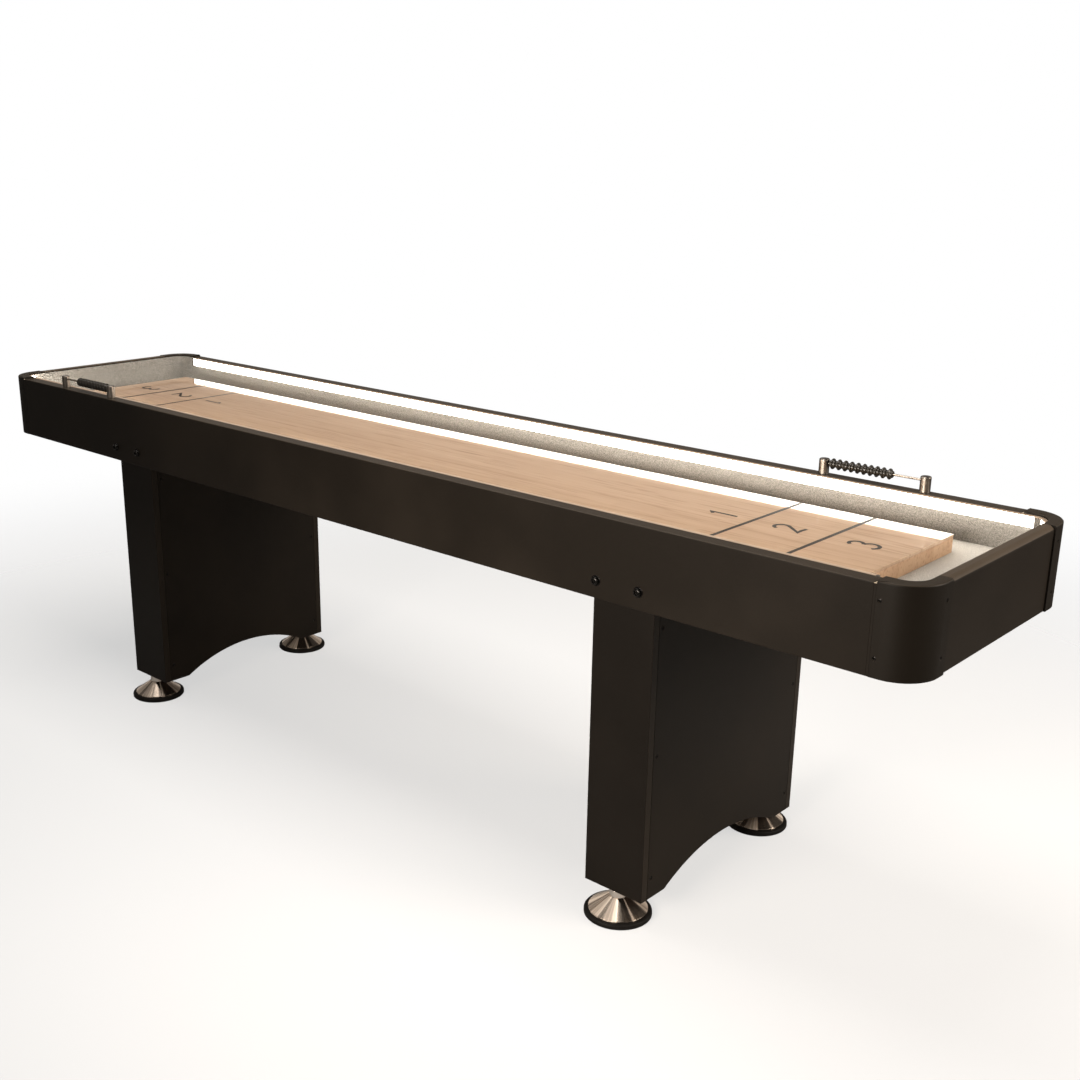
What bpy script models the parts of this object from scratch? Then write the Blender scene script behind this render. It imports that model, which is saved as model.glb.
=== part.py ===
"""Nine-foot shuffleboard table with a lit gutter.

Metres, +Z up, origin on the floor under the middle of the table.  X runs along the table and
the side at -Y is called the front.  Every piece is one closed solid in its own object.
"""
import bpy
import bmesh
import math
from mathutils import Matrix

# ---------------------------------------------------------------- driving sizes
FIT_GAP = 0.0003            # between pieces that touch

TABLE_LENGTH = 2.743
TABLE_WIDTH = 0.591
CORNER_RADIUS = 0.069       # outside corners, in plan
CABINET_BOTTOM = 0.655
SIDE_RAIL_TOP = 0.811
END_RAIL_TOP = 0.815

SIDE_RAIL_WIDTH = 0.0315    # apron at its top, seen from above
APRON_BOARD = 0.0228        # apron below the gutter floor, where the legs tuck in behind it
END_RAIL_WIDTH = 0.0265
INNER_CORNER_RADIUS = 0.035

CAP_SHELL = 0.0047          # outer wall of a corner cap
CAP_SKIRT = 0.003           # inner wall of a corner cap
CAP_FLANGE = 0.0045         # top of a corner cap
CAP_SIDE_FLAT = 0.013       # from where the curve ends to the seam with the apron
CAP_END_FLAT = 0.022
CAP_PROUD = 0.003           # how far a cap stands out of its end board
CAP_EDGE_ROUND = 0.0035
END_CROWN_RADIUS = 0.011

DECK_TOP = 0.7355           # gutter floor
DECK_THICKNESS = 0.018
DECK_GROOVE = 0.004         # depth of the groove that houses the deck's edge
DECK_CORNER_INSIDE = 0.039  # how much tighter the deck's corners are than the cabinet's

END_GUTTER = 0.1446         # playfield's end to the end board
SIDE_GUTTER = 0.085         # playfield's side to the apron
BOARD_TOP = 0.7706
BOARD_EDGE_ROUND = 0.005

LIGHT_HEIGHT = 0.023
LIGHT_DEPTH = 0.009
LIGHT_BELOW_RAIL = 0.0005
LIGHT_END_GAP = 0.070       # straight end to the end board; the other end follows the corner
LIGHT_WRAP = 78             # degrees of the corner that it follows
LIGHT_FIT = 0.0004          # extra clearance where it bends

LEG_INSET = 0.5795          # leg centre to the end of the table
LEG_WIDTH = 0.1386
LEG_BOTTOM = 0.055
LEG_CLEARANCE = 0.0003      # between a leg and the aprons it tucks between
LEG_BOARD = 0.018
LEG_PANEL = 0.016
LEG_FOOT_LENGTH = 0.0754    # flat foot of a leg, from its outer face to where the arch starts
ARCH_RISE = 0.050
CORE_HEIGHT = 0.105         # glued block inside a leg, above its foot

FOOT_INSET = 0.020          # leveler's axis to the leg's outer face
RING_RADIUS = 0.0675
RING_THICKNESS = 0.0105
CONE_BASE_RADIUS = 0.059
CONE_NECK_RADIUS = 0.0195
CONE_TOP = 0.0400
CONE_WALL = 0.003
CONE_CROWN = 0.0066         # metal over the hollow of the cone, where the stem turns
RING_WIDTH = 0.017
STEM_COLLAR_RADIUS = 0.0185
STEM_COLLAR_TOP = 0.0547
STEM_RADIUS = 0.006
STEM_REACH = 0.0865         # how far the stem goes up into the leg
STEM_CLEARANCE = 0.0006
STEM_HEAD = 0.004           # how far the stem's head, inside the cone, stands out of it
BORE_END = 0.0036           # bore in the leg past the stem's tip

SCORER_INSET = 0.3905       # scorer centre to the end of the table
POST_RADIUS = 0.0105
POST_TOP = 0.843
POST_EDGE_ROUND = 0.003
POST_SOCKET = 0.005         # how far the rod goes into a post
ROD_RADIUS = 0.00225
ROD_HEIGHT = 0.8345
ROD_CLEARANCE = 0.0004
BEAD_COUNT = 10
BEAD_PITCH = 0.01375
BEAD_RIDGE_RADIUS = 0.0112
BEAD_END_RADIUS = 0.0075
BEAD_BORE = 0.0031
BEAD_START = 0.0025         # first bead to its post
BEAD_TRAVEL = 0.057         # free rod beyond the last bead

TURNED_STEPS = 24
BEAD_STEPS = 14

# ---------------------------------------------------------------- sizes that follow
HALF_LENGTH = TABLE_LENGTH / 2
HALF_WIDTH = TABLE_WIDTH / 2
CORNER_X = HALF_LENGTH - CORNER_RADIUS
CORNER_Y = HALF_WIDTH - CORNER_RADIUS
SIDE_SEAM = CORNER_X - CAP_SIDE_FLAT
END_SEAM = CORNER_Y - CAP_END_FLAT
INNER_X = HALF_LENGTH - END_RAIL_WIDTH
INNER_Y = HALF_WIDTH - SIDE_RAIL_WIDTH
APRON_BACK = HALF_WIDTH - APRON_BOARD
END_FACE = HALF_LENGTH - CAP_PROUD
FLANGE_UNDERSIDE = END_RAIL_TOP - CAP_FLANGE
TONGUE_TOP = FLANGE_UNDERSIDE - FIT_GAP
LEG_OUTER = APRON_BACK - LEG_CLEARANCE
LEG_TOP = DECK_TOP - DECK_THICKNESS - FIT_GAP
LEG_BOARD_INNER = LEG_OUTER - LEG_BOARD
LEG_HALF_WIDTH = LEG_WIDTH / 2
ARCH_HALF = LEG_OUTER - LEG_FOOT_LENGTH
FOOT_Y = LEG_OUTER - FOOT_INSET
LEG_SPREAD = HALF_LENGTH - LEG_INSET
DECK_CORNER_RADIUS = CORNER_RADIUS - DECK_CORNER_INSIDE
BOARD_HALF_LENGTH = INNER_X - END_GUTTER
BOARD_HALF_WIDTH = INNER_Y - SIDE_GUTTER
LIGHT_FAR_END = INNER_X - LIGHT_END_GAP
SCORER_CENTRE = HALF_LENGTH - SCORER_INSET
POST_SPACING = 2 * POST_RADIUS + BEAD_START + BEAD_COUNT * BEAD_PITCH + BEAD_TRAVEL


# ---------------------------------------------------------------- tools
def clear_scene():
    for old in list(bpy.data.objects):
        bpy.data.objects.remove(old, do_unlink=True)


def new_collection(name):
    group = bpy.data.collections.new(name)
    bpy.context.scene.collection.children.link(group)
    return group


clear_scene()
TABLE = new_collection("shuffleboard_table")
CUTTERS = new_collection("cutters")
MATERIALS = {}


def material(name, color, roughness, metallic=0.0):
    if name not in MATERIALS:
        made = bpy.data.materials.new(name)
        made.use_nodes = True
        shader = made.node_tree.nodes["Principled BSDF"]
        shader.inputs["Base Color"].default_value = (*color, 1.0)
        shader.inputs["Roughness"].default_value = roughness
        shader.inputs["Metallic"].default_value = metallic
        MATERIALS[name] = made
    return MATERIALS[name]


def laminate():
    return material("espresso_laminate", (0.018, 0.014, 0.010), 0.45)


def cap_plastic():
    return material("cap_plastic", (0.020, 0.017, 0.014), 0.4)


def chrome():
    return material("polished_chrome", (0.75, 0.73, 0.70), 0.08, 1.0)


def place(mesh, name, finish, at=(0, 0, 0), group=None):
    made = bpy.data.objects.new(name, mesh)
    made.location = at
    if finish:
        mesh.materials.clear()
        mesh.materials.append(finish)
    (group or TABLE).objects.link(made)
    return made


def mesh_from(name, build):
    work = bmesh.new()
    build(work)
    bmesh.ops.recalc_face_normals(work, faces=work.faces)
    mesh = bpy.data.meshes.new(name)
    work.to_mesh(mesh)
    work.free()
    return mesh


def box(name, low, high, finish=None, group=None):
    size = [b - a for a, b in zip(low, high)]
    middle = [(a + b) / 2 for a, b in zip(low, high)]
    mesh = mesh_from(name, lambda work: bmesh.ops.create_cube(
        work, size=1.0, matrix=Matrix.Diagonal((*size, 1.0))))
    return place(mesh, name, finish, middle, group)


def plate(name, outline, low, high, finish=None, group=None, turn=None):
    """A flat outline in X and Y, extruded from low to high along Z, then turned."""
    curve = bpy.data.curves.new(name, "CURVE")
    curve.dimensions = "2D"
    curve.fill_mode = "BOTH"
    curve.extrude = (high - low) / 2
    spline = curve.splines.new("POLY")
    spline.points.add(len(outline) - 1)
    for point, (x, y) in zip(spline.points, outline):
        point.co = (x, y, 0, 1)
    spline.use_cyclic_u = True
    drawn = bpy.data.objects.new(name + "_outline", curve)
    TABLE.objects.link(drawn)
    mesh = bpy.data.meshes.new_from_object(drawn.evaluated_get(bpy.context.evaluated_depsgraph_get()))
    bpy.data.objects.remove(drawn, do_unlink=True)
    bpy.data.curves.remove(curve)
    mesh.transform(Matrix.Translation((0, 0, (low + high) / 2)))
    if turn:
        mesh.transform(turn)
    work = bmesh.new()
    work.from_mesh(mesh)
    bmesh.ops.remove_doubles(work, verts=work.verts, dist=1e-5)
    bmesh.ops.recalc_face_normals(work, faces=work.faces)
    work.to_mesh(mesh)
    work.free()
    mesh.name = name
    return place(mesh, name, finish, group=group)


# A plate drawn as (x, z) stands across Y, and one drawn as (y, z) stands across X.
ACROSS_Y = Matrix(((1, 0, 0, 0), (0, 0, 1, 0), (0, 1, 0, 0), (0, 0, 0, 1)))
ACROSS_X = Matrix(((0, 0, 1, 0), (1, 0, 0, 0), (0, 1, 0, 0), (0, 0, 0, 1)))


def arc(centre, radius, start, end, steps):
    """Points on an arc, with its angles in degrees."""
    angles = [math.radians(start + (end - start) * k / steps) for k in range(steps + 1)]
    return [(centre[0] + radius * math.cos(a), centre[1] + radius * math.sin(a)) for a in angles]


def mirrored(outline, sx, sy):
    return [(sx * x, sy * y) for x, y in outline]


def turned(name, profile, finish, at, steps=TURNED_STEPS, axis="Z", group=None):
    """A profile of (radius, height) points, top to bottom, turned about its own Z axis."""
    mesh = bpy.data.meshes.new(name)
    work = bmesh.new()
    points = [work.verts.new((r, 0, z)) for r, z in profile]
    for a, b in zip(points, points[1:]):
        work.edges.new((a, b))
    work.to_mesh(mesh)
    work.free()
    made = place(mesh, name, finish, at, group)
    spin = made.modifiers.new("turn", "SCREW")
    spin.angle = math.tau
    spin.steps = steps
    spin.render_steps = steps
    spin.use_merge_vertices = True
    spin.merge_threshold = 0.00001
    spin.use_smooth_shade = True
    if axis == "X":
        made.rotation_euler = (0, math.pi / 2, 0)
    return made


def cylinder(name, radius, length, at, axis="Z", steps=TURNED_STEPS, finish=None, group=None):
    mesh = mesh_from(name, lambda work: bmesh.ops.create_cone(
        work, cap_ends=True, segments=steps, radius1=radius, radius2=radius, depth=length))
    for face in mesh.polygons:
        face.use_smooth = len(face.vertices) == 4
    made = place(mesh, name, finish, at, group)
    if axis == "X":
        made.rotation_euler = (0, math.pi / 2, 0)
    return made


def boolean(target, other, operation):
    step = target.modifiers.new(operation.lower(), "BOOLEAN")
    step.operation = operation
    step.solver = "EXACT"
    step.object = other


def as_cutter(made):
    made.hide_render = True
    made.display_type = "WIRE"
    return made


def cut(target, cutter):
    boolean(target, as_cutter(cutter), "DIFFERENCE")


def join(target, addition):
    boolean(target, as_cutter(addition), "UNION")


def soften(made, width, segments=2, angle=40):
    step = made.modifiers.new("edges", "BEVEL")
    step.width = width
    step.segments = segments
    step.limit_method = "ANGLE"
    step.angle_limit = math.radians(angle)


# ---------------------------------------------------------------- cabinet
def apron(name, side):
    """Side board: thick where it lines the gutter, thinner below, with a groove for the deck."""
    low_shelf = DECK_TOP - DECK_THICKNESS - FIT_GAP
    high_shelf = DECK_TOP + FIT_GAP
    groove = APRON_BACK + DECK_GROOVE
    section = [(HALF_WIDTH, CABINET_BOTTOM), (HALF_WIDTH, SIDE_RAIL_TOP), (INNER_Y, SIDE_RAIL_TOP),
               (INNER_Y, high_shelf), (groove, high_shelf), (groove, low_shelf),
               (APRON_BACK, low_shelf), (APRON_BACK, CABINET_BOTTOM)]
    reach = SIDE_SEAM - FIT_GAP
    board = plate(name, mirrored(section, side, 1), -reach, reach, laminate(), turn=ACROSS_X)
    shell_inside = HALF_WIDTH - CAP_SHELL - FIT_GAP
    skirt_outside = INNER_Y + CAP_SKIRT + FIT_GAP
    low_y, high_y = sorted((side * max(skirt_outside, APRON_BACK + FIT_GAP), side * shell_inside))
    tongue = box(name + "_tongue", (-CORNER_X, low_y, CABINET_BOTTOM + FIT_GAP),
                 (CORNER_X, high_y, TONGUE_TOP), group=CUTTERS)
    groove_y = sorted((side * (INNER_Y - FIT_GAP), side * groove))
    channel = box(name + "_channel", (-HALF_LENGTH, groove_y[0], low_shelf),
                  (HALF_LENGTH, groove_y[1], high_shelf), group=CUTTERS)
    join(board, tongue)
    cut(board, channel)
    return board


def end_board(name, end):
    """End board with a rounded crown and tongues that reach into the corner caps."""
    low_shelf = DECK_TOP - DECK_THICKNESS - FIT_GAP
    high_shelf = DECK_TOP + FIT_GAP
    groove = INNER_X + DECK_GROOVE
    crown = arc((END_FACE - END_CROWN_RADIUS, END_RAIL_TOP - END_CROWN_RADIUS), END_CROWN_RADIUS, 0, 90, 5)
    inner_round = arc((INNER_X + CAP_EDGE_ROUND, END_RAIL_TOP - CAP_EDGE_ROUND), CAP_EDGE_ROUND, 90, 180, 3)
    section = ([(END_FACE, CABINET_BOTTOM)] + crown + inner_round
               + [(INNER_X, high_shelf), (groove, high_shelf), (groove, low_shelf),
                  (INNER_X, low_shelf), (INNER_X, CABINET_BOTTOM)])
    reach = END_SEAM - FIT_GAP
    board = plate(name, mirrored(section, end, 1), -reach, reach, laminate(), turn=ACROSS_Y)
    shell_inside = HALF_LENGTH - CAP_SHELL - FIT_GAP
    skirt_outside = INNER_X + CAP_SKIRT + FIT_GAP
    low_x, high_x = sorted((end * skirt_outside, end * shell_inside))
    tongue = box(name + "_tongue", (low_x, -CORNER_Y, CABINET_BOTTOM + FIT_GAP),
                 (high_x, CORNER_Y, TONGUE_TOP), group=CUTTERS)
    groove_x = sorted((end * (INNER_X - FIT_GAP), end * groove))
    channel = box(name + "_channel", (groove_x[0], -HALF_WIDTH, low_shelf),
                  (groove_x[1], HALF_WIDTH, high_shelf), group=CUTTERS)
    join(board, tongue)
    cut(board, channel)
    return board


def round_top(made, radius, segments, pick=lambda a, b: True):
    """Round the top edges of a mesh whose two ends pass pick."""
    work = bmesh.new()
    work.from_mesh(made.data)
    top = max(v.co.z for v in work.verts)
    edges = [e for e in work.edges
             if all(abs(v.co.z - top) < 1e-6 for v in e.verts)
             and e.calc_face_angle(0) > 0.5 and pick(*(v.co for v in e.verts))]
    bmesh.ops.bevel(work, geom=edges, offset=radius, segments=segments, profile=0.5, affect="EDGES")
    work.to_mesh(made.data)
    work.free()


def corner_cap(name, end, side):
    """Moulded cap: a shell round the corner, a flange over the rails and a skirt inside."""
    past = 0.01
    centre = (CORNER_X, CORNER_Y)
    inner_centre = (INNER_X - INNER_CORNER_RADIUS, INNER_Y - INNER_CORNER_RADIUS)
    outside = ([(SIDE_SEAM, HALF_WIDTH)] + arc(centre, CORNER_RADIUS, 90, 0, 12)
               + [(HALF_LENGTH, END_SEAM)])
    inside = ([(INNER_X, END_SEAM)] + arc(inner_centre, INNER_CORNER_RADIUS, 0, 90, 8)
              + [(SIDE_SEAM, INNER_Y)])
    shell_back = ([(SIDE_SEAM - past, HALF_WIDTH - CAP_SHELL)]
                  + arc(centre, CORNER_RADIUS - CAP_SHELL, 90, 0, 12)
                  + [(HALF_LENGTH - CAP_SHELL, END_SEAM - past)])
    skirt_back = ([(INNER_X + CAP_SKIRT, END_SEAM - past)]
                  + arc(inner_centre, INNER_CORNER_RADIUS + CAP_SKIRT, 0, 90, 8)
                  + [(SIDE_SEAM - past, INNER_Y + CAP_SKIRT)])
    well_inside = [(CORNER_X - past, END_SEAM - past), (SIDE_SEAM - past, CORNER_Y - past)]
    below = CABINET_BOTTOM - past
    cap = plate(name, mirrored(outside + inside, end, side), CABINET_BOTTOM, END_RAIL_TOP, cap_plastic())

    def along_the_cap(a, b):
        on_side_seam = all(abs(abs(p.x) - SIDE_SEAM) < 1e-6 for p in (a, b))
        on_end_seam = all(abs(abs(p.y) - END_SEAM) < 1e-6 for p in (a, b))
        return not (on_side_seam or on_end_seam)

    round_top(cap, CAP_EDGE_ROUND, 3, along_the_cap)
    cut(cap, plate(name + "_pocket", mirrored(shell_back + skirt_back, end, side),
                   below, FLANGE_UNDERSIDE, group=CUTTERS))
    cut(cap, plate(name + "_under_deck", mirrored(shell_back + well_inside, end, side),
                   below, DECK_TOP + FIT_GAP, group=CUTTERS))
    return cap


def deck():
    """Gutter floor, a panel housed in the grooves of the aprons and end boards."""
    half_x = INNER_X + DECK_GROOVE - FIT_GAP
    half_y = APRON_BACK + DECK_GROOVE - FIT_GAP
    quarter = arc((half_x - DECK_CORNER_RADIUS, half_y - DECK_CORNER_RADIUS), DECK_CORNER_RADIUS, 0, 90, 4)
    outline = (quarter + mirrored(reversed(quarter), -1, 1) + mirrored(quarter, -1, -1)
               + mirrored(reversed(quarter), 1, -1))
    return plate("gutter_deck", outline, DECK_TOP - DECK_THICKNESS, DECK_TOP,
                 material("gutter_carpet", (0.55, 0.53, 0.48), 0.95))


def playfield():
    board = box("playfield_board", (-BOARD_HALF_LENGTH, -BOARD_HALF_WIDTH, DECK_TOP + FIT_GAP),
                (BOARD_HALF_LENGTH, BOARD_HALF_WIDTH, BOARD_TOP),
                material("coated_maple", (0.50, 0.34, 0.22), 0.12))
    round_top(board, BOARD_EDGE_ROUND, 3)
    return board


def light_strip(name, side):
    """LED strip under the side rail, bent round one corner; the front one is turned half round."""
    top = SIDE_RAIL_TOP - LIGHT_BELOW_RAIL
    centre = (INNER_X - INNER_CORNER_RADIUS, INNER_Y - INNER_CORNER_RADIUS)
    outer = INNER_CORNER_RADIUS - FIT_GAP
    outline = ([(-LIGHT_FAR_END, centre[1] + outer)]
               + arc(centre, outer - LIGHT_FIT, 90, 90 - LIGHT_WRAP, 8)
               + arc(centre, INNER_CORNER_RADIUS - LIGHT_DEPTH, 90 - LIGHT_WRAP, 90, 8)
               + [(-LIGHT_FAR_END, centre[1] + INNER_CORNER_RADIUS - LIGHT_DEPTH)])
    return plate(name, mirrored(outline, side, side), top - LIGHT_HEIGHT, top,
                 material("light_diffuser", (0.95, 0.90, 0.80), 0.4))


# ---------------------------------------------------------------- legs
def arch_outline(half_y, top):
    radius = (ARCH_HALF ** 2 + ARCH_RISE ** 2) / (2 * ARCH_RISE)
    centre = (0, LEG_BOTTOM + ARCH_RISE - radius)
    spread = math.degrees(math.asin(ARCH_HALF / radius))
    return (arc(centre, radius, 90 + spread, 90 - spread, 20)
            + [(half_y, LEG_BOTTOM), (half_y, top), (-half_y, top), (-half_y, LEG_BOTTOM)])


def stem_bore(name, x, y):
    low = LEG_BOTTOM - 0.01
    high = LEG_BOTTOM + STEM_REACH + BORE_END
    return cylinder(name, STEM_RADIUS + STEM_CLEARANCE, high - low, (x, y, (low + high) / 2), group=CUTTERS)


def leg(name, x):
    finish = laminate()
    inner = LEG_BOARD_INNER - FIT_GAP
    for label, side in (("front", -1), ("back", 1)):
        ys = sorted((side * LEG_BOARD_INNER, side * LEG_OUTER))
        board = box(f"{name}_face_{label}", (x - LEG_HALF_WIDTH, ys[0], LEG_BOTTOM),
                    (x + LEG_HALF_WIDTH, ys[1], LEG_TOP), finish)
        soften(board, 0.001, 1)
        cut(board, stem_bore(f"{name}_bore_{label}", x, side * FOOT_Y))
    for label, side in (("outer", math.copysign(1, x)), ("inner", -math.copysign(1, x))):
        xs = sorted((side * LEG_HALF_WIDTH, side * (LEG_HALF_WIDTH - LEG_PANEL)))
        panel = plate(f"{name}_panel_{label}", arch_outline(inner, LEG_TOP), *xs, finish, turn=ACROSS_X)
        panel.location.x = x
    half_core = LEG_HALF_WIDTH - LEG_PANEL - FIT_GAP
    core = plate(f"{name}_core", arch_outline(inner, LEG_BOTTOM + CORE_HEIGHT), -half_core, half_core,
                 material("core_wood", (0.35, 0.24, 0.15), 0.7), turn=ACROSS_X)
    core.location.x = x
    for label, side in (("front", -1), ("back", 1)):
        cut(core, stem_bore(f"{name}_core_bore_{label}", x, side * FOOT_Y))


def leveler(name, x, y):
    """Screw foot: the base goes down, the stem turns in it and in the leg."""
    edge = 0.001
    bore = STEM_RADIUS + STEM_CLEARANCE
    ring_inside = RING_RADIUS - RING_WIDTH
    roll = RING_THICKNESS * 0.4
    ring = (arc((RING_RADIUS - roll, RING_THICKNESS - roll), roll, 90, 0, 3)
            + [(RING_RADIUS, edge), (RING_RADIUS - edge, 0), (ring_inside, 0), (ring_inside, RING_THICKNESS)])
    rubber = material("foot_rubber", (0.02, 0.018, 0.016), 0.6)
    turned(f"foot_{name}_ring", ring + ring[:1], rubber, (x, y, 0))
    seat = RING_THICKNESS + FIT_GAP
    plug = ring_inside - FIT_GAP
    crown = CONE_TOP - CONE_CROWN
    rim = seat + CONE_WALL * 0.7
    cone = [(CONE_NECK_RADIUS, CONE_TOP), (CONE_BASE_RADIUS, rim), (CONE_BASE_RADIUS, seat),
            (plug, seat), (plug, roll), (plug - CONE_WALL, roll), (plug - CONE_WALL, rim),
            (CONE_NECK_RADIUS, crown), (bore, crown), (bore, CONE_TOP)]
    turned(f"foot_{name}_cone", cone + cone[:1], chrome(), (x, y, 0))
    head = crown - FIT_GAP
    head_low = head - 0.005
    head_radius = STEM_RADIUS + STEM_HEAD
    collar_low = CONE_TOP + FIT_GAP
    top = LEG_BOTTOM + STEM_REACH
    stem = [(0, top), (STEM_RADIUS - edge, top), (STEM_RADIUS, top - edge), (STEM_RADIUS, STEM_COLLAR_TOP),
            (STEM_COLLAR_RADIUS - edge, STEM_COLLAR_TOP), (STEM_COLLAR_RADIUS, STEM_COLLAR_TOP - edge),
            (STEM_COLLAR_RADIUS, collar_low), (STEM_RADIUS, collar_low), (STEM_RADIUS, head),
            (head_radius, head), (head_radius, head_low), (0, head_low)]
    turned(f"foot_{name}_stem", stem, chrome(), (x, y, 0))


# ---------------------------------------------------------------- scorers
def scorer(name, side):
    """Ten beads on a rod between two posts; the front one is the back one turned half round."""
    dark = material("dark_metal", (0.10, 0.09, 0.08), 0.35, 1.0)
    y = side * (HALF_WIDTH - SIDE_RAIL_WIDTH / 2)
    middle = side * SCORER_CENTRE
    base = SIDE_RAIL_TOP + FIT_GAP
    profile = ([(0, POST_TOP)]
               + arc((POST_RADIUS - POST_EDGE_ROUND, POST_TOP - POST_EDGE_ROUND), POST_EDGE_ROUND, 90, 0, 3)
               + [(POST_RADIUS, base), (0, base)])
    for label, way in (("inner", -side), ("outer", side)):
        x = middle + way * POST_SPACING / 2
        post = turned(f"scorer_{name}_post_{label}", [(r, z - base) for r, z in profile], dark, (x, y, base))
        socket_x = x - way * (POST_RADIUS - POST_SOCKET / 2 + 0.005)
        cut(post, cylinder(f"scorer_{name}_socket_{label}", ROD_RADIUS + ROD_CLEARANCE,
                           POST_SOCKET + 0.01, (socket_x, y, ROD_HEIGHT), "X", 16, group=CUTTERS))
    rod_length = POST_SPACING - 2 * POST_RADIUS + 2 * (POST_SOCKET - ROD_CLEARANCE)
    cylinder(f"scorer_{name}_rod", ROD_RADIUS, rod_length, (middle, y, ROD_HEIGHT), "X", 12,
             material("rod_steel", (0.55, 0.53, 0.50), 0.25, 1.0))
    half = (BEAD_PITCH - FIT_GAP) / 2
    ridge = 0.0016
    bead = [(BEAD_BORE, half), (BEAD_END_RADIUS, half), (BEAD_END_RADIUS + 0.0006, ridge * 2.2),
            (BEAD_RIDGE_RADIUS, ridge), (BEAD_RIDGE_RADIUS, -ridge),
            (BEAD_END_RADIUS + 0.0006, -ridge * 2.2), (BEAD_END_RADIUS, -half), (BEAD_BORE, -half)]
    first = middle - side * (POST_SPACING / 2 - POST_RADIUS - BEAD_START - BEAD_PITCH / 2)
    for k in range(BEAD_COUNT):
        turned(f"scorer_{name}_bead_{k + 1}", bead + bead[:1],
               material("bead_black", (0.015, 0.013, 0.012), 0.15),
               (first + side * k * BEAD_PITCH, y, ROD_HEIGHT), BEAD_STEPS, "X")


# ---------------------------------------------------------------- the table
def build_table():
    apron("apron_front", -1)
    apron("apron_back", 1)
    end_board("end_board_left", -1)
    end_board("end_board_right", 1)
    for end_name, end in (("left", -1), ("right", 1)):
        for side_name, side in (("front", -1), ("back", 1)):
            corner_cap(f"corner_cap_{end_name}_{side_name}", end, side)
            leveler(f"{end_name}_{side_name}", end * LEG_SPREAD, side * FOOT_Y)
        leg(f"leg_{end_name}", end * LEG_SPREAD)
    deck()
    playfield()
    light_strip("light_strip_front", -1)
    light_strip("light_strip_back", 1)
    scorer("front", -1)
    scorer("back", 1)
    bpy.context.view_layer.update()


build_table()
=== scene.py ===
"""Nine-foot shuffleboard table with a lit gutter: its surfaces, trim and small fittings.

Metres, +Z up.  X runs along the table, and the side at -Y is called the front.
"""
import math
import bpy
import bmesh
from mathutils import Matrix, Vector


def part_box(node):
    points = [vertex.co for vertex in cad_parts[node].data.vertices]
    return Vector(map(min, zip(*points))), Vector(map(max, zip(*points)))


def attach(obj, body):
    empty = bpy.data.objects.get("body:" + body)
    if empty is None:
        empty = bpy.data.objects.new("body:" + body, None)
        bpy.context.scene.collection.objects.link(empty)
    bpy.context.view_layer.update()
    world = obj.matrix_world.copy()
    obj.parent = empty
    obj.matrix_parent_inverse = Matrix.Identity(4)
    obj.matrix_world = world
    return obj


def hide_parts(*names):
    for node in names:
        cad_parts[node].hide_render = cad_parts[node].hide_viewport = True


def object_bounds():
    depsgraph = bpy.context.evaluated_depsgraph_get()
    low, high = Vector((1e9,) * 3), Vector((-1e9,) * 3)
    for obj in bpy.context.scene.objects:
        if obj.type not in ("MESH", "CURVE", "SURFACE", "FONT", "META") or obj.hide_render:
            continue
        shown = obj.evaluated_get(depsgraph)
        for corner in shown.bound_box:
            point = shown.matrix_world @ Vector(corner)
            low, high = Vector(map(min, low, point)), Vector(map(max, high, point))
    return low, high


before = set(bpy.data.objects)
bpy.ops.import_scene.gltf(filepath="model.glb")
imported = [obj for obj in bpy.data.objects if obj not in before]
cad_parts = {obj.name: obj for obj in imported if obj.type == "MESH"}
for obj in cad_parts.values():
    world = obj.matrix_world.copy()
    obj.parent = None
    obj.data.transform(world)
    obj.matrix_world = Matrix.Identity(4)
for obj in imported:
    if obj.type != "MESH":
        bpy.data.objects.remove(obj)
cad_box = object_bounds()
TABLE = "table"

# ---------------------------------------------------------------- studio
# A pale floor that fades into a white room.  One soft light faces the right end, a small one the
# right half of the front, and a broad one hangs overhead, so that the left end falls into shade.
CAMERA_AT = Vector((2.1792, -2.1345, 1.4566))
CAMERA_AZIMUTH = math.radians(42.88)
CAMERA_ELEVATION = math.radians(17.47)
CAMERA_ROLL = math.radians(0.37)
CAMERA_LENS = 44.70
CAMERA_SHIFT = (0.0496, 0.0193)
FLOOR_HALF = 14
FLOOR_UNDER_FEET = 0.0005
FLOOR_SOLID = 1.3
FLOOR_GONE = 3.4
FLOOR_WEIGHT = 0.40
FLOOR_WHITE = (0.88, 0.88, 0.88)
HORIZON_SOFT = 0.02
HORIZON_HIGH = (0.135, 0.18)
END_LIGHT_AT = (3.3, 1.0, 1.7)
END_LIGHT_TOWARDS = (1.37, 0.0, 0.62)
FRONT_LIGHT_AT = (0.72, -2.4, 1.10)
FRONT_LIGHT_TOWARDS = (0.72, -0.3, 0.65)
OVERHEAD_AT = (-0.35, -0.15, 3.0)
OVERHEAD_TOWARDS = (-0.35, -0.15, 0.7)


class Wire:
    """A node's output that takes part in sums, so that a shader reads as an expression."""

    def __init__(self, finish, socket):
        self.finish = finish
        self.socket = socket

    def math(self, operation, first, second):
        return self.finish.node("Math", {"operation": operation}, {0: first, 1: second})

    def __add__(self, other):
        return self.math("ADD", self, other)

    def __sub__(self, other):
        return self.math("SUBTRACT", self, other)

    def __rsub__(self, other):
        return self.math("SUBTRACT", other, self)

    def __mul__(self, other):
        return self.math("MULTIPLY", self, other)

    __radd__ = __add__
    __rmul__ = __mul__


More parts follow.
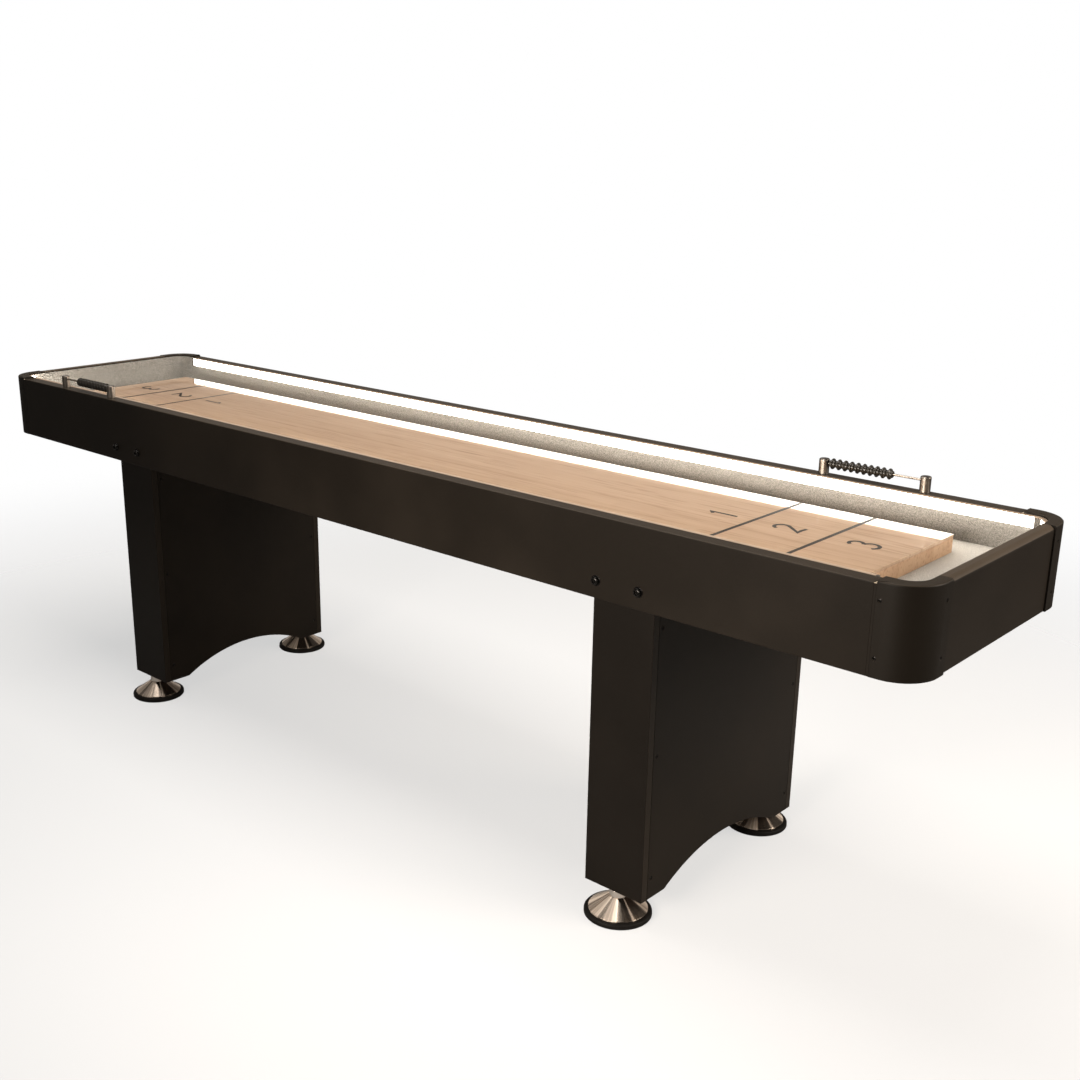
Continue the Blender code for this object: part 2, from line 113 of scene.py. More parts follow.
class Finish:
    """A material, or the room's light, being mixed: every node of it comes from node()."""

    def __init__(self, name, kind=bpy.data.materials):
        self.block = kind.new(name)
        self.block.use_nodes = True
        self.tree = self.block.node_tree
        self.tree.nodes.clear()
        self.at = self.node("TexCoord", out="Object")

    def node(self, kind, settings=None, values=None, out=0):
        made = self.tree.nodes.new("ShaderNode" + kind)
        for key, value in (settings or {}).items():
            setattr(made, key, value)
        for key, value in (values or {}).items():
            if isinstance(value, Wire):
                self.tree.links.new(value.socket, made.inputs[key])
            elif isinstance(value, tuple) and made.inputs[key].type == "RGBA":
                made.inputs[key].default_value = (*value, 1)
            else:
                made.inputs[key].default_value = value
        return Wire(self, made.outputs[out])

    def stretched(self, scale):
        return self.node("VectorMath", {"operation": "MULTIPLY"}, {0: self.at, 1: scale})

    def noise(self, scale, detail=2.0, at=None):
        return self.node("TexNoise", None, {"Vector": at or self.at, "Scale": scale, "Detail": detail})

    def ramp(self, value, low, high, start=0.0, end=1.0, curve="SMOOTHSTEP"):
        """start below low, end above high, and an even change between them."""
        return self.node("MapRange", {"interpolation_type": curve},
                         {"Value": value, "From Min": low, "From Max": high, "To Min": start, "To Max": end})

    def mix(self, factor, first, second):
        return self.node("Mix", {"data_type": "RGBA"}, {0: factor, 6: first, 7: second}, out=2)

    def axes(self, wire):
        split = self.node("SeparateXYZ", None, {0: wire})
        return [Wire(self, output) for output in split.socket.node.outputs]

    def bump(self, height, strength, distance):
        return self.node("Bump", None, {"Height": height, "Strength": strength, "Distance": distance})

    def surface(self, **inputs):
        named = {key.replace("_", " "): value for key, value in inputs.items()}
        shader = self.node("BsdfPrincipled", None, named)
        self.shown_by("OutputMaterial", shader)
        return self.block

    def shown_by(self, kind, shader):
        output = self.tree.nodes.new("ShaderNode" + kind)
        self.tree.links.new(shader.socket, output.inputs["Surface"])


def aim_camera():
    """A standing person's view from beyond the right end of the front side."""
    back = Vector((math.sin(CAMERA_AZIMUTH) * math.cos(CAMERA_ELEVATION),
                   -math.cos(CAMERA_AZIMUTH) * math.cos(CAMERA_ELEVATION), math.sin(CAMERA_ELEVATION)))
    right = Vector((math.cos(CAMERA_AZIMUTH), math.sin(CAMERA_AZIMUTH), 0))
    turn = Matrix((right, back.cross(right), back)).transposed().to_4x4()
    camera = bpy.data.objects.new("camera", bpy.data.cameras.new("camera"))
    camera.data.sensor_width = 36
    camera.data.lens = CAMERA_LENS
    camera.data.shift_x, camera.data.shift_y = CAMERA_SHIFT
    camera.data.clip_end = 60
    camera.matrix_world = Matrix.Translation(CAMERA_AT) @ turn @ Matrix.Rotation(CAMERA_ROLL, 4, "Z")
    bpy.context.scene.collection.objects.link(camera)
    bpy.context.scene.camera = camera


def soft_light(name, at, towards, size, power, color, spread=180):
    """A panel of light in watts, hung at a place and turned towards another."""
    lamp = bpy.data.lights.new(name, "AREA")
    lamp.shape = "RECTANGLE"
    lamp.size, lamp.size_y = size
    lamp.energy = power
    lamp.color = color
    lamp.spread = math.radians(spread)
    holder = bpy.data.objects.new(name, lamp)
    holder.location = at
    holder.rotation_euler = (Vector(towards) - Vector(at)).to_track_quat("-Z", "Y").to_euler()
    bpy.context.scene.collection.objects.link(holder)


def white_room(seen, diffuse, glossy, horizon):
    """White to look at, dim as a light, and bright in mirror finishes only near the horizon."""
    room = Finish("room", bpy.data.worlds)
    height = room.axes(room.node("TexCoord", out="Generated"))[2]
    above = room.ramp(height, *HORIZON_HIGH, horizon, glossy, "LINEAR")
    band = room.ramp(height, -HORIZON_SOFT, HORIZON_SOFT, glossy, above, "LINEAR")
    mirrored = room.node("LightPath", out="Is Glossy Ray")
    looked_at = room.node("LightPath", out="Is Camera Ray")
    unseen = room.node("Mix", None, {0: mirrored, 2: diffuse, 3: band})
    strength = room.node("Mix", None, {0: looked_at, 2: unseen, 3: seen})
    tint = room.mix(looked_at, (1, 0.90, 0.80), (1, 1, 1))
    room.shown_by("OutputWorld", room.node("Background", None, {"Color": tint, "Strength": strength}))
    bpy.context.scene.world = room.block


def floor_paint():
    """Pale paint, solid under the table and fading out away from it."""
    finish = Finish("pale_floor")
    away = finish.node("VectorMath", {"operation": "LENGTH"}, {0: finish.at}, out="Value")
    fade = finish.ramp(away, FLOOR_SOLID, FLOOR_GONE, FLOOR_WEIGHT, 0.0)
    return finish.surface(Base_Color=FLOOR_WHITE, Roughness=0.9, Alpha=fade)


def pale_floor():
    work = bmesh.new()
    bmesh.ops.create_grid(work, x_segments=8, y_segments=8, size=FLOOR_HALF)
    mesh = bpy.data.meshes.new("floor")
    work.to_mesh(mesh)
    work.free()
    mesh.materials.append(floor_paint())
    floor = bpy.data.objects.new("floor", mesh)
    floor.location.z = cad_box[0][2] - FLOOR_UNDER_FEET
    bpy.context.scene.collection.objects.link(floor)


aim_camera()
pale_floor()
white_room(seen=1.0, diffuse=0.07, glossy=0.11, horizon=0.8)
soft_light("end_light", END_LIGHT_AT, END_LIGHT_TOWARDS, (1.4, 1.2), 74, (1, 0.88, 0.76))
soft_light("front_light", FRONT_LIGHT_AT, FRONT_LIGHT_TOWARDS, (1.5, 0.6), 15, (1, 0.89, 0.78), 70)
soft_light("overhead", OVERHEAD_AT, OVERHEAD_TOWARDS, (3.2, 1.4), 76, (1, 0.94, 0.88))
bpy.context.scene.view_settings.view_transform = "Standard"

# ---------------------------------------------------------------- side rails
# The two long boards of the cabinet: thick fibreboard wrapped in espresso laminate, its edges
# eased, grooved for the gutter floor.  The wrap stops a little short of each corner cap.
SIDE_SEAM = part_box("corner_cap_right_back")[0].x
END_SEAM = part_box("corner_cap_right_back")[0].y
HALF_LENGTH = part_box("corner_cap_right_back")[1].x
HALF_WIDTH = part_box("apron_back")[1].y
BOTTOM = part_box("apron_back")[0].z
RAIL_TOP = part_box("apron_back")[1].z
INNER_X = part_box("end_board_right")[0].x
FIT = 0.0003
INNER_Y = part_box("light_strip_back")[1].y + FIT
DECK_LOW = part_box("gutter_deck")[0].z
DECK_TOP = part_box("gutter_deck")[1].z
DECK_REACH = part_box("gutter_deck")[1]
THIN_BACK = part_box("leg_right_face_back")[1].y + FIT
EASED = 0.0012
SAW_EDGE = 0.0004
RAIL_ROUND = 0.0022
WRAP_STOPS = 0.0048
WRAP_THICK = 0.0009
SIDE_TONGUE = 0.012
SIDE_TONGUE_IN = 0.0052
TONGUE_SLACK = 0.0004
TONGUE_LOWER = 0.001
HAIRLINE = 0.0001
SOFT_ANGLE = math.radians(38)
BROWN_BLACK = (0.0082, 0.0062, 0.0043)
WARM_BLACK = (0.0165, 0.0126, 0.0090)
# Tones of the side rail tops, lightened as a painted sheen.
TOP_SHEEN_DARK = (0.034, 0.0268, 0.0198)
TOP_SHEEN_LIGHT = (0.047, 0.037, 0.0275)
RAW_DARK = (0.46, 0.37, 0.26)
RAW_PALE = (0.68, 0.57, 0.43)


def laminate(name, dark, light, shine=0.46):
    """Thermofused film with a fine leathery emboss, cloudy in tone."""
    finish = Finish(name)
    cloud = finish.ramp(finish.noise(3.2, 3), 0.35, 0.68)
    emboss = finish.noise(760, 3)
    pores = finish.noise(240, 2)
    tone = finish.mix(cloud * 0.7 + emboss * 0.5 - 0.12, dark, light)
    bump = finish.bump(emboss * 0.7 + pores * 0.3, 0.35, 0.0005)
    rough = shine + (emboss - 0.5) * 0.16 + (cloud - 0.5) * 0.05
    return finish.surface(Base_Color=tone, Roughness=rough, Normal=bump, Specular_IOR_Level=0.12)


def fibreboard():
    """Cut edge or face of fibreboard that nothing covers."""
    finish = Finish("bare_fibreboard")
    fleck = finish.noise(1100, 3)
    cloud = finish.noise(22, 2)
    tone = finish.mix(fleck * 0.7 + cloud * 0.3, RAW_DARK, RAW_PALE)
    return finish.surface(Base_Color=tone, Roughness=0.85, Normal=finish.bump(fleck, 0.4, 0.0004))


def rounded(corners, steps=5):
    """A closed outline from (a, b, radius) corners, each turned on its own radius."""
    outline = []
    for k, (a, b, radius) in enumerate(corners):
        here = Vector((a, b))
        if not radius:
            outline.append((a, b))
            continue
        before = (Vector(corners[k - 1][:2]) - here).normalized()
        after = (Vector(corners[(k + 1) % len(corners)][:2]) - here).normalized()
        half = before.angle(after) / 2
        centre = here + (before + after).normalized() * radius / math.sin(half)
        first = here + before * radius / math.tan(half) - centre
        last = here + after * radius / math.tan(half) - centre
        sweep = first.angle_signed(last)
        for step in range(steps + 1):
            turn = Matrix.Rotation(-sweep * step / steps, 2)
            outline.append(tuple(centre + turn @ first))
    return outline


def lay(a, b, height, along):
    """A point of an outline, (y, z) along X, (x, z) along Y or (x, y) along Z."""
    return {"X": (height, a, b), "Y": (a, height, b), "Z": (a, b, height)}[along]


def plank(work, outline, low, high, along="Z", edge=EASED, steps=2):
    """An outline carried from low to high, with its sharp edges eased, added to work."""
    start = [work.verts.new(lay(a, b, low, along)) for a, b in outline]
    end = [work.verts.new(lay(a, b, high, along)) for a, b in outline]
    faces = [work.faces.new(start), work.faces.new(end)]
    for k in range(len(outline)):
        faces.append(work.faces.new((start[k - 1], start[k], end[k], end[k - 1])))
    bmesh.ops.recalc_face_normals(work, faces=faces)
    if edge:
        sharp = [e for f in faces[:2] for e in f.edges]
        sharp += [e for f in faces[2:] for e in f.edges if e.calc_face_angle(0) > math.radians(35)]
        bmesh.ops.bevel(work, geom=list(set(sharp)), offset=edge, segments=steps, profile=0.5,
                        affect="EDGES", clamp_overlap=True)


def square(low_a, high_a, low_b, high_b):
    """The four corners of a plain board's outline."""
    return [(low_a, low_b), (high_a, low_b), (high_a, high_b), (low_a, high_b)]


def made(work, name):
    """The mesh of finished mesh work, smooth over its small facets only."""
    mesh = bpy.data.meshes.new(name)
    work.to_mesh(mesh)
    work.free()
    mesh.shade_smooth()
    mesh.set_sharp_from_angle(angle=SOFT_ANGLE)
    return mesh


def piece(mesh, finishes, body=TABLE, stands_for=(), at=(0, 0, 0)):
    """A finished mesh becomes a piece of the table, named as its mesh."""
    shown = bpy.data.objects.new(mesh.name, mesh)
    shown.location = at
    bpy.context.scene.collection.objects.link(shown)
    for finish in finishes:
        mesh.materials.append(finish)
    even = shown.modifiers.new("even_shading", "WEIGHTED_NORMAL")
    even.keep_sharp = True
    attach(shown, body)
    if stands_for:
        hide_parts(*stands_for)
    return shown


ESPRESSO = laminate("espresso_laminate", BROWN_BLACK, WARM_BLACK)
# A lighter copy of the laminate for the rail tops: painted sheen, the shine the tops catch painted into
# their colour.
RAIL_TOP_PAINTED_SHEEN = laminate("espresso_top_painted_sheen", TOP_SHEEN_DARK, TOP_SHEEN_LIGHT, 0.38)
RAW_BOARD = fibreboard()


def side_rail(name, side):
    """The wrapped board, a bare notch at each end of it, and the tongues that the caps cover."""
    groove = DECK_REACH.y + FIT
    shelf_low, shelf_high = DECK_LOW - FIT, DECK_TOP + FIT
    corners = [(HALF_WIDTH, BOTTOM, EASED), (HALF_WIDTH, RAIL_TOP, RAIL_ROUND),
               (INNER_Y, RAIL_TOP, RAIL_ROUND), (INNER_Y, shelf_high, 0), (groove, shelf_high, 0),
               (groove, shelf_low, 0), (THIN_BACK, shelf_low, 0), (THIN_BACK, BOTTOM, EASED)]
    section = [(side * y, z) for y, z in rounded(corners)]
    wrapped = SIDE_SEAM - WRAP_STOPS
    work = bmesh.new()
    plank(work, section, -wrapped, wrapped, "X", edge=SAW_EDGE, steps=1)
    for end in (-1, 1):
        stub = [(side * y, min(z, RAIL_TOP - WRAP_THICK)) for y, z in rounded(corners)]
        low, high = sorted((end * (wrapped + HAIRLINE), end * (SIDE_SEAM - FIT)))
        plank(work, stub, low, high, "X", edge=0)
        tongue = sorted((side * (THIN_BACK + TONGUE_SLACK), side * (HALF_WIDTH - SIDE_TONGUE_IN)))
        low, high = sorted((end * SIDE_SEAM, end * (SIDE_SEAM + SIDE_TONGUE)))
        plank(work, square(*tongue, BOTTOM + FIT, RAIL_TOP - TONGUE_LOWER), low, high, "X", edge=0)
    mesh = made(work, name)
    # Notch tops are bare board; the other upward faces take the lighter top laminate, a painted sheen.
    for face in mesh.polygons:
        in_notch = abs(face.center.x) > wrapped + HAIRLINE / 2
        if in_notch and face.normal.z > 0.3:
            face.material_index = 2
        elif face.normal.z > 0.5:
            face.material_index = 1
    finishes = [ESPRESSO, RAIL_TOP_PAINTED_SHEEN, RAW_BOARD]
    piece(mesh, finishes, stands_for=["apron_" + name.split("_")[-1]])


side_rail("side_rail_front", -1)
side_rail("side_rail_back", 1)

# ---------------------------------------------------------------- end rails
# The two short boards, laminated like the sides.  Their tops are crowned on the outside with a
# generous radius, which takes a satin shine and a lighter colour painted on as sheen, and their ends slide
# into the corner caps.
CROWN_ROUND = 0.011
INNER_ROUND = 0.0035
END_TONGUE = 0.021
END_TONGUE_IN = 0.0034
END_TONGUE_OUT = 0.0021
END_TONGUE_LOWER = 0.005
# Tones of the crown, lightened as a painted sheen.
CROWN_SHEEN_DARK = (0.064, 0.050, 0.037)
CROWN_SHEEN_LIGHT = (0.084, 0.066, 0.049)
END_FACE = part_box("end_board_right")[1].x
END_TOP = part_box("end_board_right")[1].z
# A lighter copy of the laminate for the crowns: painted sheen.
CROWN_PAINTED_SHEEN = laminate("espresso_crown_painted_sheen", CROWN_SHEEN_DARK, CROWN_SHEEN_LIGHT, 0.36)


def end_rail(name, end):
    """The crowned board between two caps, with a bare tongue inside each of them."""
    groove = DECK_REACH.x + FIT
    shelf_low, shelf_high = DECK_LOW - FIT, DECK_TOP + FIT
    corners = [(END_FACE, BOTTOM, EASED), (END_FACE, END_TOP, CROWN_ROUND),
               (INNER_X, END_TOP, INNER_ROUND), (INNER_X, shelf_high, 0), (groove, shelf_high, 0),
               (groove, shelf_low, 0), (INNER_X, shelf_low, 0), (INNER_X, BOTTOM, EASED)]
    section = [(end * x, z) for x, z in rounded(corners, 9)]
    work = bmesh.new()
    plank(work, section, -(END_SEAM - FIT), END_SEAM - FIT, "Y", edge=SAW_EDGE, steps=1)
    tongue = sorted((end * (INNER_X + END_TONGUE_IN), end * (END_FACE - END_TONGUE_OUT)))
    for side in (-1, 1):
        low, high = sorted((side * END_SEAM, side * (END_SEAM + END_TONGUE)))
        plank(work, square(*tongue, BOTTOM + FIT, END_TOP - END_TONGUE_LOWER), low, high, "Y", edge=0)
    mesh = made(work, name)
    # Tongues are bare board; the upward faces take the lighter crown laminate, a painted sheen.
    for face in mesh.polygons:
        if abs(face.center.y) > END_SEAM:
            face.material_index = 2
        elif face.normal.z > 0.3:
            face.material_index = 1
    finishes = [ESPRESSO, CROWN_PAINTED_SHEEN, RAW_BOARD]
    piece(mesh, finishes, stands_for=["end_board_" + name.split("_")[-1]])


end_rail("end_rail_left", -1)
end_rail("end_rail_right", 1)

# ---------------------------------------------------------------- corner caps
# Four injection-moulded covers in textured dark plastic, their tops painted a shade lighter as a painted
# sheen.
# Each slips over the rail ends and is held by four small black cross-head screws, two in its
# side face and two in its end face.
CAP_SCREW_HEIGHTS = (0.7835, 0.6875)
CAP_SCREW_FROM_SIDE_SEAM = 0.0068
CAP_SCREW_FROM_END_SEAM = 0.0175
SCREW_HEAD = 0.0036
SCREW_SINK_DEPTH = 0.0014
SCREW_SUNK = 0.0013
SCREW_DOME = 0.0010
SCREW_RECESS = 0.0008
SCREW_SKIRT = 0.001
CAP_DARK = (0.0072, 0.0055, 0.0038)
CAP_LIGHT = (0.0122, 0.0095, 0.0068)
# Tones of the cap tops, lightened as a painted sheen, not wear.
CAP_SHEEN_DARK = (0.024, 0.019, 0.014)
CAP_SHEEN_LIGHT = (0.036, 0.0285, 0.021)
OXIDE = (0.006, 0.0055, 0.005)
SCREW_WORN = (0.055, 0.050, 0.045)


def moulded_plastic(name, dark, light, sheen):
    """Dark plastic with the fine spark-eroded grain of its mould."""
    finish = Finish(name)
    grain = finish.noise(1300, 2)
    cloud = finish.noise(6, 2)
    tone = finish.mix(cloud * 0.6 + grain * 0.4, dark, light)
    rough = 0.40 + grain * 0.16
    return finish.surface(Base_Color=tone, Roughness=rough, Normal=finish.bump(grain, 0.3, 0.0003),
                          Specular_IOR_Level=sheen)


def black_oxide(name, shine, worn):
    """Blackened steel of screws and bolts, rubbed brighter in scattered patches."""
    finish = Finish(name)
    wear = finish.ramp(finish.noise(900, 3), 0.45, 0.75)
    tone = finish.mix(wear, OXIDE, worn)
    return finish.surface(Base_Color=tone, Roughness=shine + wear * 0.15, Metallic=0.7)


def screw_head(work, at, facing, radius, dome, recess, drive, around=32, rings=9):
    """A domed head facing along facing, with a cross or six-sided recess sunk in it."""
    turn = Vector((0, 0, 1)).rotation_difference(Vector(facing)).to_matrix()
    rows = []
    for ring in range(rings + 1):
        share = ring / rings
        row = []
        for k in range(around):
            angle = math.tau * k / around
            x, y = radius * share * math.cos(angle), radius * share * math.sin(angle)
            if drive == "cross":
                inside = min(abs(x), abs(y)) < radius * 0.13 and share < 0.62
            else:
                inside = max(abs(x * math.cos(t) + y * math.sin(t))
                             for t in (0, math.pi / 3, 2 * math.pi / 3)) < radius * 0.42
            lift = dome * math.sqrt(max(0.0, 1 - share ** 4)) - (recess if inside else 0)
            row.append(work.verts.new(Vector(at) + turn @ Vector((x, y, lift))))
        rows.append(row)
    foot = []
    for k in range(around):
        angle = math.tau * k / around
        edge = Vector((radius * math.cos(angle), radius * math.sin(angle), -SCREW_SKIRT))
        foot.append(work.verts.new(Vector(at) + turn @ edge))
    rows.append(foot)
    for inner, outer in zip(rows, rows[1:]):
        for k in range(around):
            work.faces.new((inner[k - 1], inner[k], outer[k], outer[k - 1]))
    work.faces.new(foot)
    bmesh.ops.remove_doubles(work, verts=rows[0], dist=1e-6)


def countersinks(name, places, radius, depth):
    """A hidden cutter: one short cone for each (point, facing)."""
    work = bmesh.new()
    for at, facing in places:
        turn = Vector((0, 0, 1)).rotation_difference(Vector(facing)).to_matrix().to_4x4()
        middle = Matrix.Translation(Vector(at)) @ turn
        bmesh.ops.create_cone(work, cap_ends=True, segments=24, radius1=radius * 0.9, radius2=radius * 1.1,
                              depth=2 * depth, matrix=middle)
    mesh = bpy.data.meshes.new(name)
    work.to_mesh(mesh)
    work.free()
    cutter = bpy.data.objects.new(name, mesh)
    bpy.context.scene.collection.objects.link(cutter)
    return cutter


def drilled(mesh, cutter):
    """The mesh with the cutter taken out of it.  The cutter is used up."""
    blank = bpy.data.objects.new("blank", mesh)
    bpy.context.scene.collection.objects.link(blank)
    step = blank.modifiers.new("drill", "BOOLEAN")
    step.object = cutter
    step.solver = "EXACT"
    drawn = bpy.data.meshes.new_from_object(blank.evaluated_get(bpy.context.evaluated_depsgraph_get()))
    bpy.data.objects.remove(cutter)
    bpy.data.objects.remove(blank)
    drawn.name = mesh.name + "_drilled"
    drawn.shade_smooth()
    drawn.set_sharp_from_angle(angle=SOFT_ANGLE)
    return drawn


CAP_PLASTIC = moulded_plastic("cap_plastic", CAP_DARK, CAP_LIGHT, 0.12)
# A lighter copy of the cap plastic for the tops: painted sheen.
CAP_TOP_PAINTED_SHEEN = moulded_plastic("cap_top_painted_sheen", CAP_SHEEN_DARK, CAP_SHEEN_LIGHT, 0.14)
SCREW_BLACK = black_oxide("black_screw", 0.26, SCREW_WORN)


def corner_cap(node, end, side):
    """The cover is the frame's own shape, countersunk for its four screws."""
    work = bmesh.new()
    work.from_mesh(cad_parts[node].data)
    bmesh.ops.remove_doubles(work, verts=work.verts, dist=1e-5)
    bmesh.ops.dissolve_limit(work, angle_limit=math.radians(1), verts=work.verts, edges=work.edges)
    mesh = made(work, node)
    side_x = end * (SIDE_SEAM + CAP_SCREW_FROM_SIDE_SEAM)
    end_y = side * (END_SEAM + CAP_SCREW_FROM_END_SEAM)
    places = []
    for z in CAP_SCREW_HEIGHTS:
        places.append(((side_x, side * HALF_WIDTH, z), (0, side, 0)))
        places.append(((end * HALF_LENGTH, end_y, z), (end, 0, 0)))
    shell = drilled(mesh, countersinks(node + "_sinks", places, SCREW_HEAD, SCREW_SINK_DEPTH))
    shell.name = node + "_cover"
    # Upward faces take the lighter plastic, a painted sheen.
    for face in shell.polygons:
        if face.normal.z > 0.5:
            face.material_index = 1
    piece(shell, [CAP_PLASTIC, CAP_TOP_PAINTED_SHEEN], stands_for=[node])
    work = bmesh.new()
    for at, facing in places:
        sunk = Vector(at) - Vector(facing) * SCREW_SUNK
        screw_head(work, sunk, facing, SCREW_HEAD * 0.93, SCREW_DOME, SCREW_RECESS, "cross")
    piece(made(work, node + "_screws"), [SCREW_BLACK])


for end_name, end in (("left", -1), ("right", 1)):
    for side_name, side in (("front", -1), ("back", 1)):
        corner_cap(f"corner_cap_{end_name}_{side_name}", end, side)

# ---------------------------------------------------------------- gutter floor
# A fibreboard panel housed in the rails' grooves.  Short grey carpet is glued over its top, so
# that a puck that leaves the playfield lands quietly.
DECK_CORNER = 0.030
FLOOR_PILE_DARK = (0.24, 0.23, 0.21)
FLOOR_PILE_LIGHT = (0.70, 0.67, 0.61)


def carpet(name, dark, light):
    """Needle-punched felt: flecked fibres in two greys with a lumpy nap."""
    finish = Finish(name)
    fibre = finish.noise(1150, 4)
    lump = finish.noise(420, 2)
    fleck = finish.ramp(fibre * 0.84 + lump * 0.16, 0.36, 0.64)
    tone = finish.mix(fleck, dark, light)
    nap = finish.bump(fibre * 0.6 + lump * 0.4, 0.7, 0.0012)
    return finish.surface(Base_Color=tone, Roughness=0.95, Normal=nap, Sheen_Weight=0.25,
                          Specular_IOR_Level=0.15)


FLOOR_CARPET = carpet("gutter_carpet", FLOOR_PILE_DARK, FLOOR_PILE_LIGHT)


def gutter_floor():
    """The panel with round corners: carpet above, bare board below and at the edges."""
    x, y = DECK_REACH.x, DECK_REACH.y
    corners = [(-x, -y), (x, -y), (x, y), (-x, y)]
    outline = rounded([(*corner, DECK_CORNER) for corner in corners], 8)
    work = bmesh.new()
    plank(work, outline, DECK_LOW, DECK_TOP, "Z", edge=0.0005, steps=1)
    mesh = made(work, "gutter_floor")
    for face in mesh.polygons:
        face.material_index = int(face.normal.z < 0.5)
    piece(mesh, [FLOOR_CARPET, RAW_BOARD], stands_for=["gutter_deck"])


gutter_floor()

# ---------------------------------------------------------------- carpet on the gutter walls
# The same carpet in a darker run, darkened as painted shade, in strips glued to the inside of the rails: a
# low strip all the way round, and one above it over each end wall and the corner that carries no light.
WALL_CORNER = 0.035
CORNER_AT = Vector((INNER_X - WALL_CORNER, INNER_Y - WALL_CORNER))
CARPET_THICK = 0.0011
CARPET_ROUND = 0.0009
# Tones of the wall carpet, darker than the floor's as painted shade.
WALL_SHADE_DARK = (0.095, 0.092, 0.087)
WALL_SHADE_LIGHT = (0.45, 0.43, 0.395)
SHADED_WALL_CARPET = carpet("wall_carpet", WALL_SHADE_DARK, WALL_SHADE_LIGHT)
LIGHT_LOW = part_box("light_strip_back")[0].z
LIGHT_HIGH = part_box("light_strip_back")[1].z
LIGHT_END = -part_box("light_strip_back")[0].x
LIGHT_WRAP = 78
CARPET_PAST_LIGHT = 0.002
WALL_STRIP_TOP = LIGHT_LOW - 0.0004
END_STRIP_TOP = END_TOP - 0.0052


def wall_turn(sx, sy, start, end, steps=14):
    """Points of the inner wall round one corner, with the way out of it, by degrees."""
    points = []
    for k in range(steps + 1):
        angle = math.radians(start + (end - start) * k / steps)
        out = Vector((math.cos(angle), math.sin(angle)))
        points.append((Vector((sx * CORNER_AT.x, sy * CORNER_AT.y)) + out * WALL_CORNER, out))
    return points


def swept(work, path, section, closed=False):
    """A section of (distance from the wall, height) carried along a path on the wall."""
    rows = []
    for at, out in path:
        rows.append([work.verts.new((*(at - out * depth), z)) for depth, z in section])
    count = len(rows)
    faces = []
    for k in range(count if closed else count - 1):
        here, there = rows[k], rows[(k + 1) % count]
        for j in range(len(section)):
            faces.append(work.faces.new((here[j - 1], here[j], there[j], there[j - 1])))
    if not closed:
        faces.append(work.faces.new(rows[0]))
        faces.append(work.faces.new(rows[-1]))
    bmesh.ops.recalc_face_normals(work, faces=faces)


def strip_section(low, high):
    """The section of a carpet strip, its top edge rounded."""
    corners = [(HAIRLINE, low, 0), (CARPET_THICK, low, 0), (CARPET_THICK, high, CARPET_ROUND)]
    return rounded(corners + [(HAIRLINE, high, 0)], 4)


def wall_carpet():
    """The low strip is one closed ring, and the two upper ones stop at the light strips."""
    work = bmesh.new()
    ring = (wall_turn(1, 1, 0, 90) + wall_turn(-1, 1, 90, 180)
            + wall_turn(-1, -1, 180, 270) + wall_turn(1, -1, 270, 360))
    swept(work, ring, strip_section(DECK_TOP + FIT, WALL_STRIP_TOP), closed=True)
    piece(made(work, "wall_carpet"), [SHADED_WALL_CARPET])
    for name, way in (("right", 1), ("left", -1)):
        bare_corner = wall_turn(1, -1, 270, 360)
        lit_corner = wall_turn(1, 1, 0, 90 - LIGHT_WRAP - 1, 3)
        start = [(Vector((LIGHT_END + CARPET_PAST_LIGHT, -INNER_Y)), Vector((0, -1)))]
        path = [(way * at, way * out) for at, out in start + bare_corner + lit_corner]
        work = bmesh.new()
        swept(work, path, strip_section(WALL_STRIP_TOP + FIT, END_STRIP_TOP))
        piece(made(work, f"end_carpet_{name}"), [SHADED_WALL_CARPET])


wall_carpet()

# ---------------------------------------------------------------- light strips
# A pale plastic channel fixed inside each side rail, with an opal cover over its row of diodes.
# It bends round one corner, where a clip holds it, and ends in a dark plug.  The front strip,
# which lights the far wall and the playfield, is the brighter one.
LIGHT_DEPTH = 0.009
LIGHT_OFF_WALL = 0.0004
CHANNEL_WALL = 0.0012
COVER_BACK = 0.0036
COVER_SLACK = 0.0002
CLIP_FROM, CLIP_TO = 84, 50
CLIP_IN = 0.001
PLUG_LONG = 0.006
GLOW = (1.0, 0.93, 0.82)
GLOW_STRENGTHS = {"light_strip_front": 24.0, "light_strip_back": 9.0}
DIODE_PITCH = 0.0167
OPAL = (0.88, 0.85, 0.80)
CHANNEL_DARK = (0.40, 0.30, 0.22)
CHANNEL_LIGHT = (0.48, 0.37, 0.28)
PLUG_DARK = (0.040, 0.036, 0.031)
PLUG_LIGHT = (0.064, 0.058, 0.050)
CLIP_DARK = (0.085, 0.078, 0.068)
CLIP_LIGHT = (0.12, 0.11, 0.096)


def opal_cover(name, strength):
    """Milky cover lit from behind: a little brighter over each diode."""
    finish = Finish(name)
    x, y = finish.axes(finish.at)[:2]
    beat = finish.node("Math", {"operation": "SINE"}, {0: (x + y) * (math.tau / DIODE_PITCH)})
    glow = finish.mix(beat * 0.5 + 0.5, tuple(c * 0.93 for c in GLOW), GLOW)
    grain = finish.noise(800, 2)
    return finish.surface(Base_Color=OPAL, Roughness=grain * 0.2 + 0.35,
                          Emission_Color=glow, Emission_Strength=strength)


def plain_plastic(name, dark, light, grains, dullness):
    """Smooth plastic in two close tones."""
    finish = Finish(name)
    grain = finish.noise(grains, 2)
    tone = finish.mix(grain, dark, light)
    return finish.surface(Base_Color=tone, Roughness=dullness + grain * 0.1)


CHANNEL_WHITE = plain_plastic("channel_plastic", CHANNEL_DARK, CHANNEL_LIGHT, 500, 0.40)
PLUG_GREY = plain_plastic("plug_plastic", PLUG_DARK, PLUG_LIGHT, 700, 0.45)
CLIP_GREY = plain_plastic("clip_plastic", CLIP_DARK, CLIP_LIGHT, 700, 0.45)


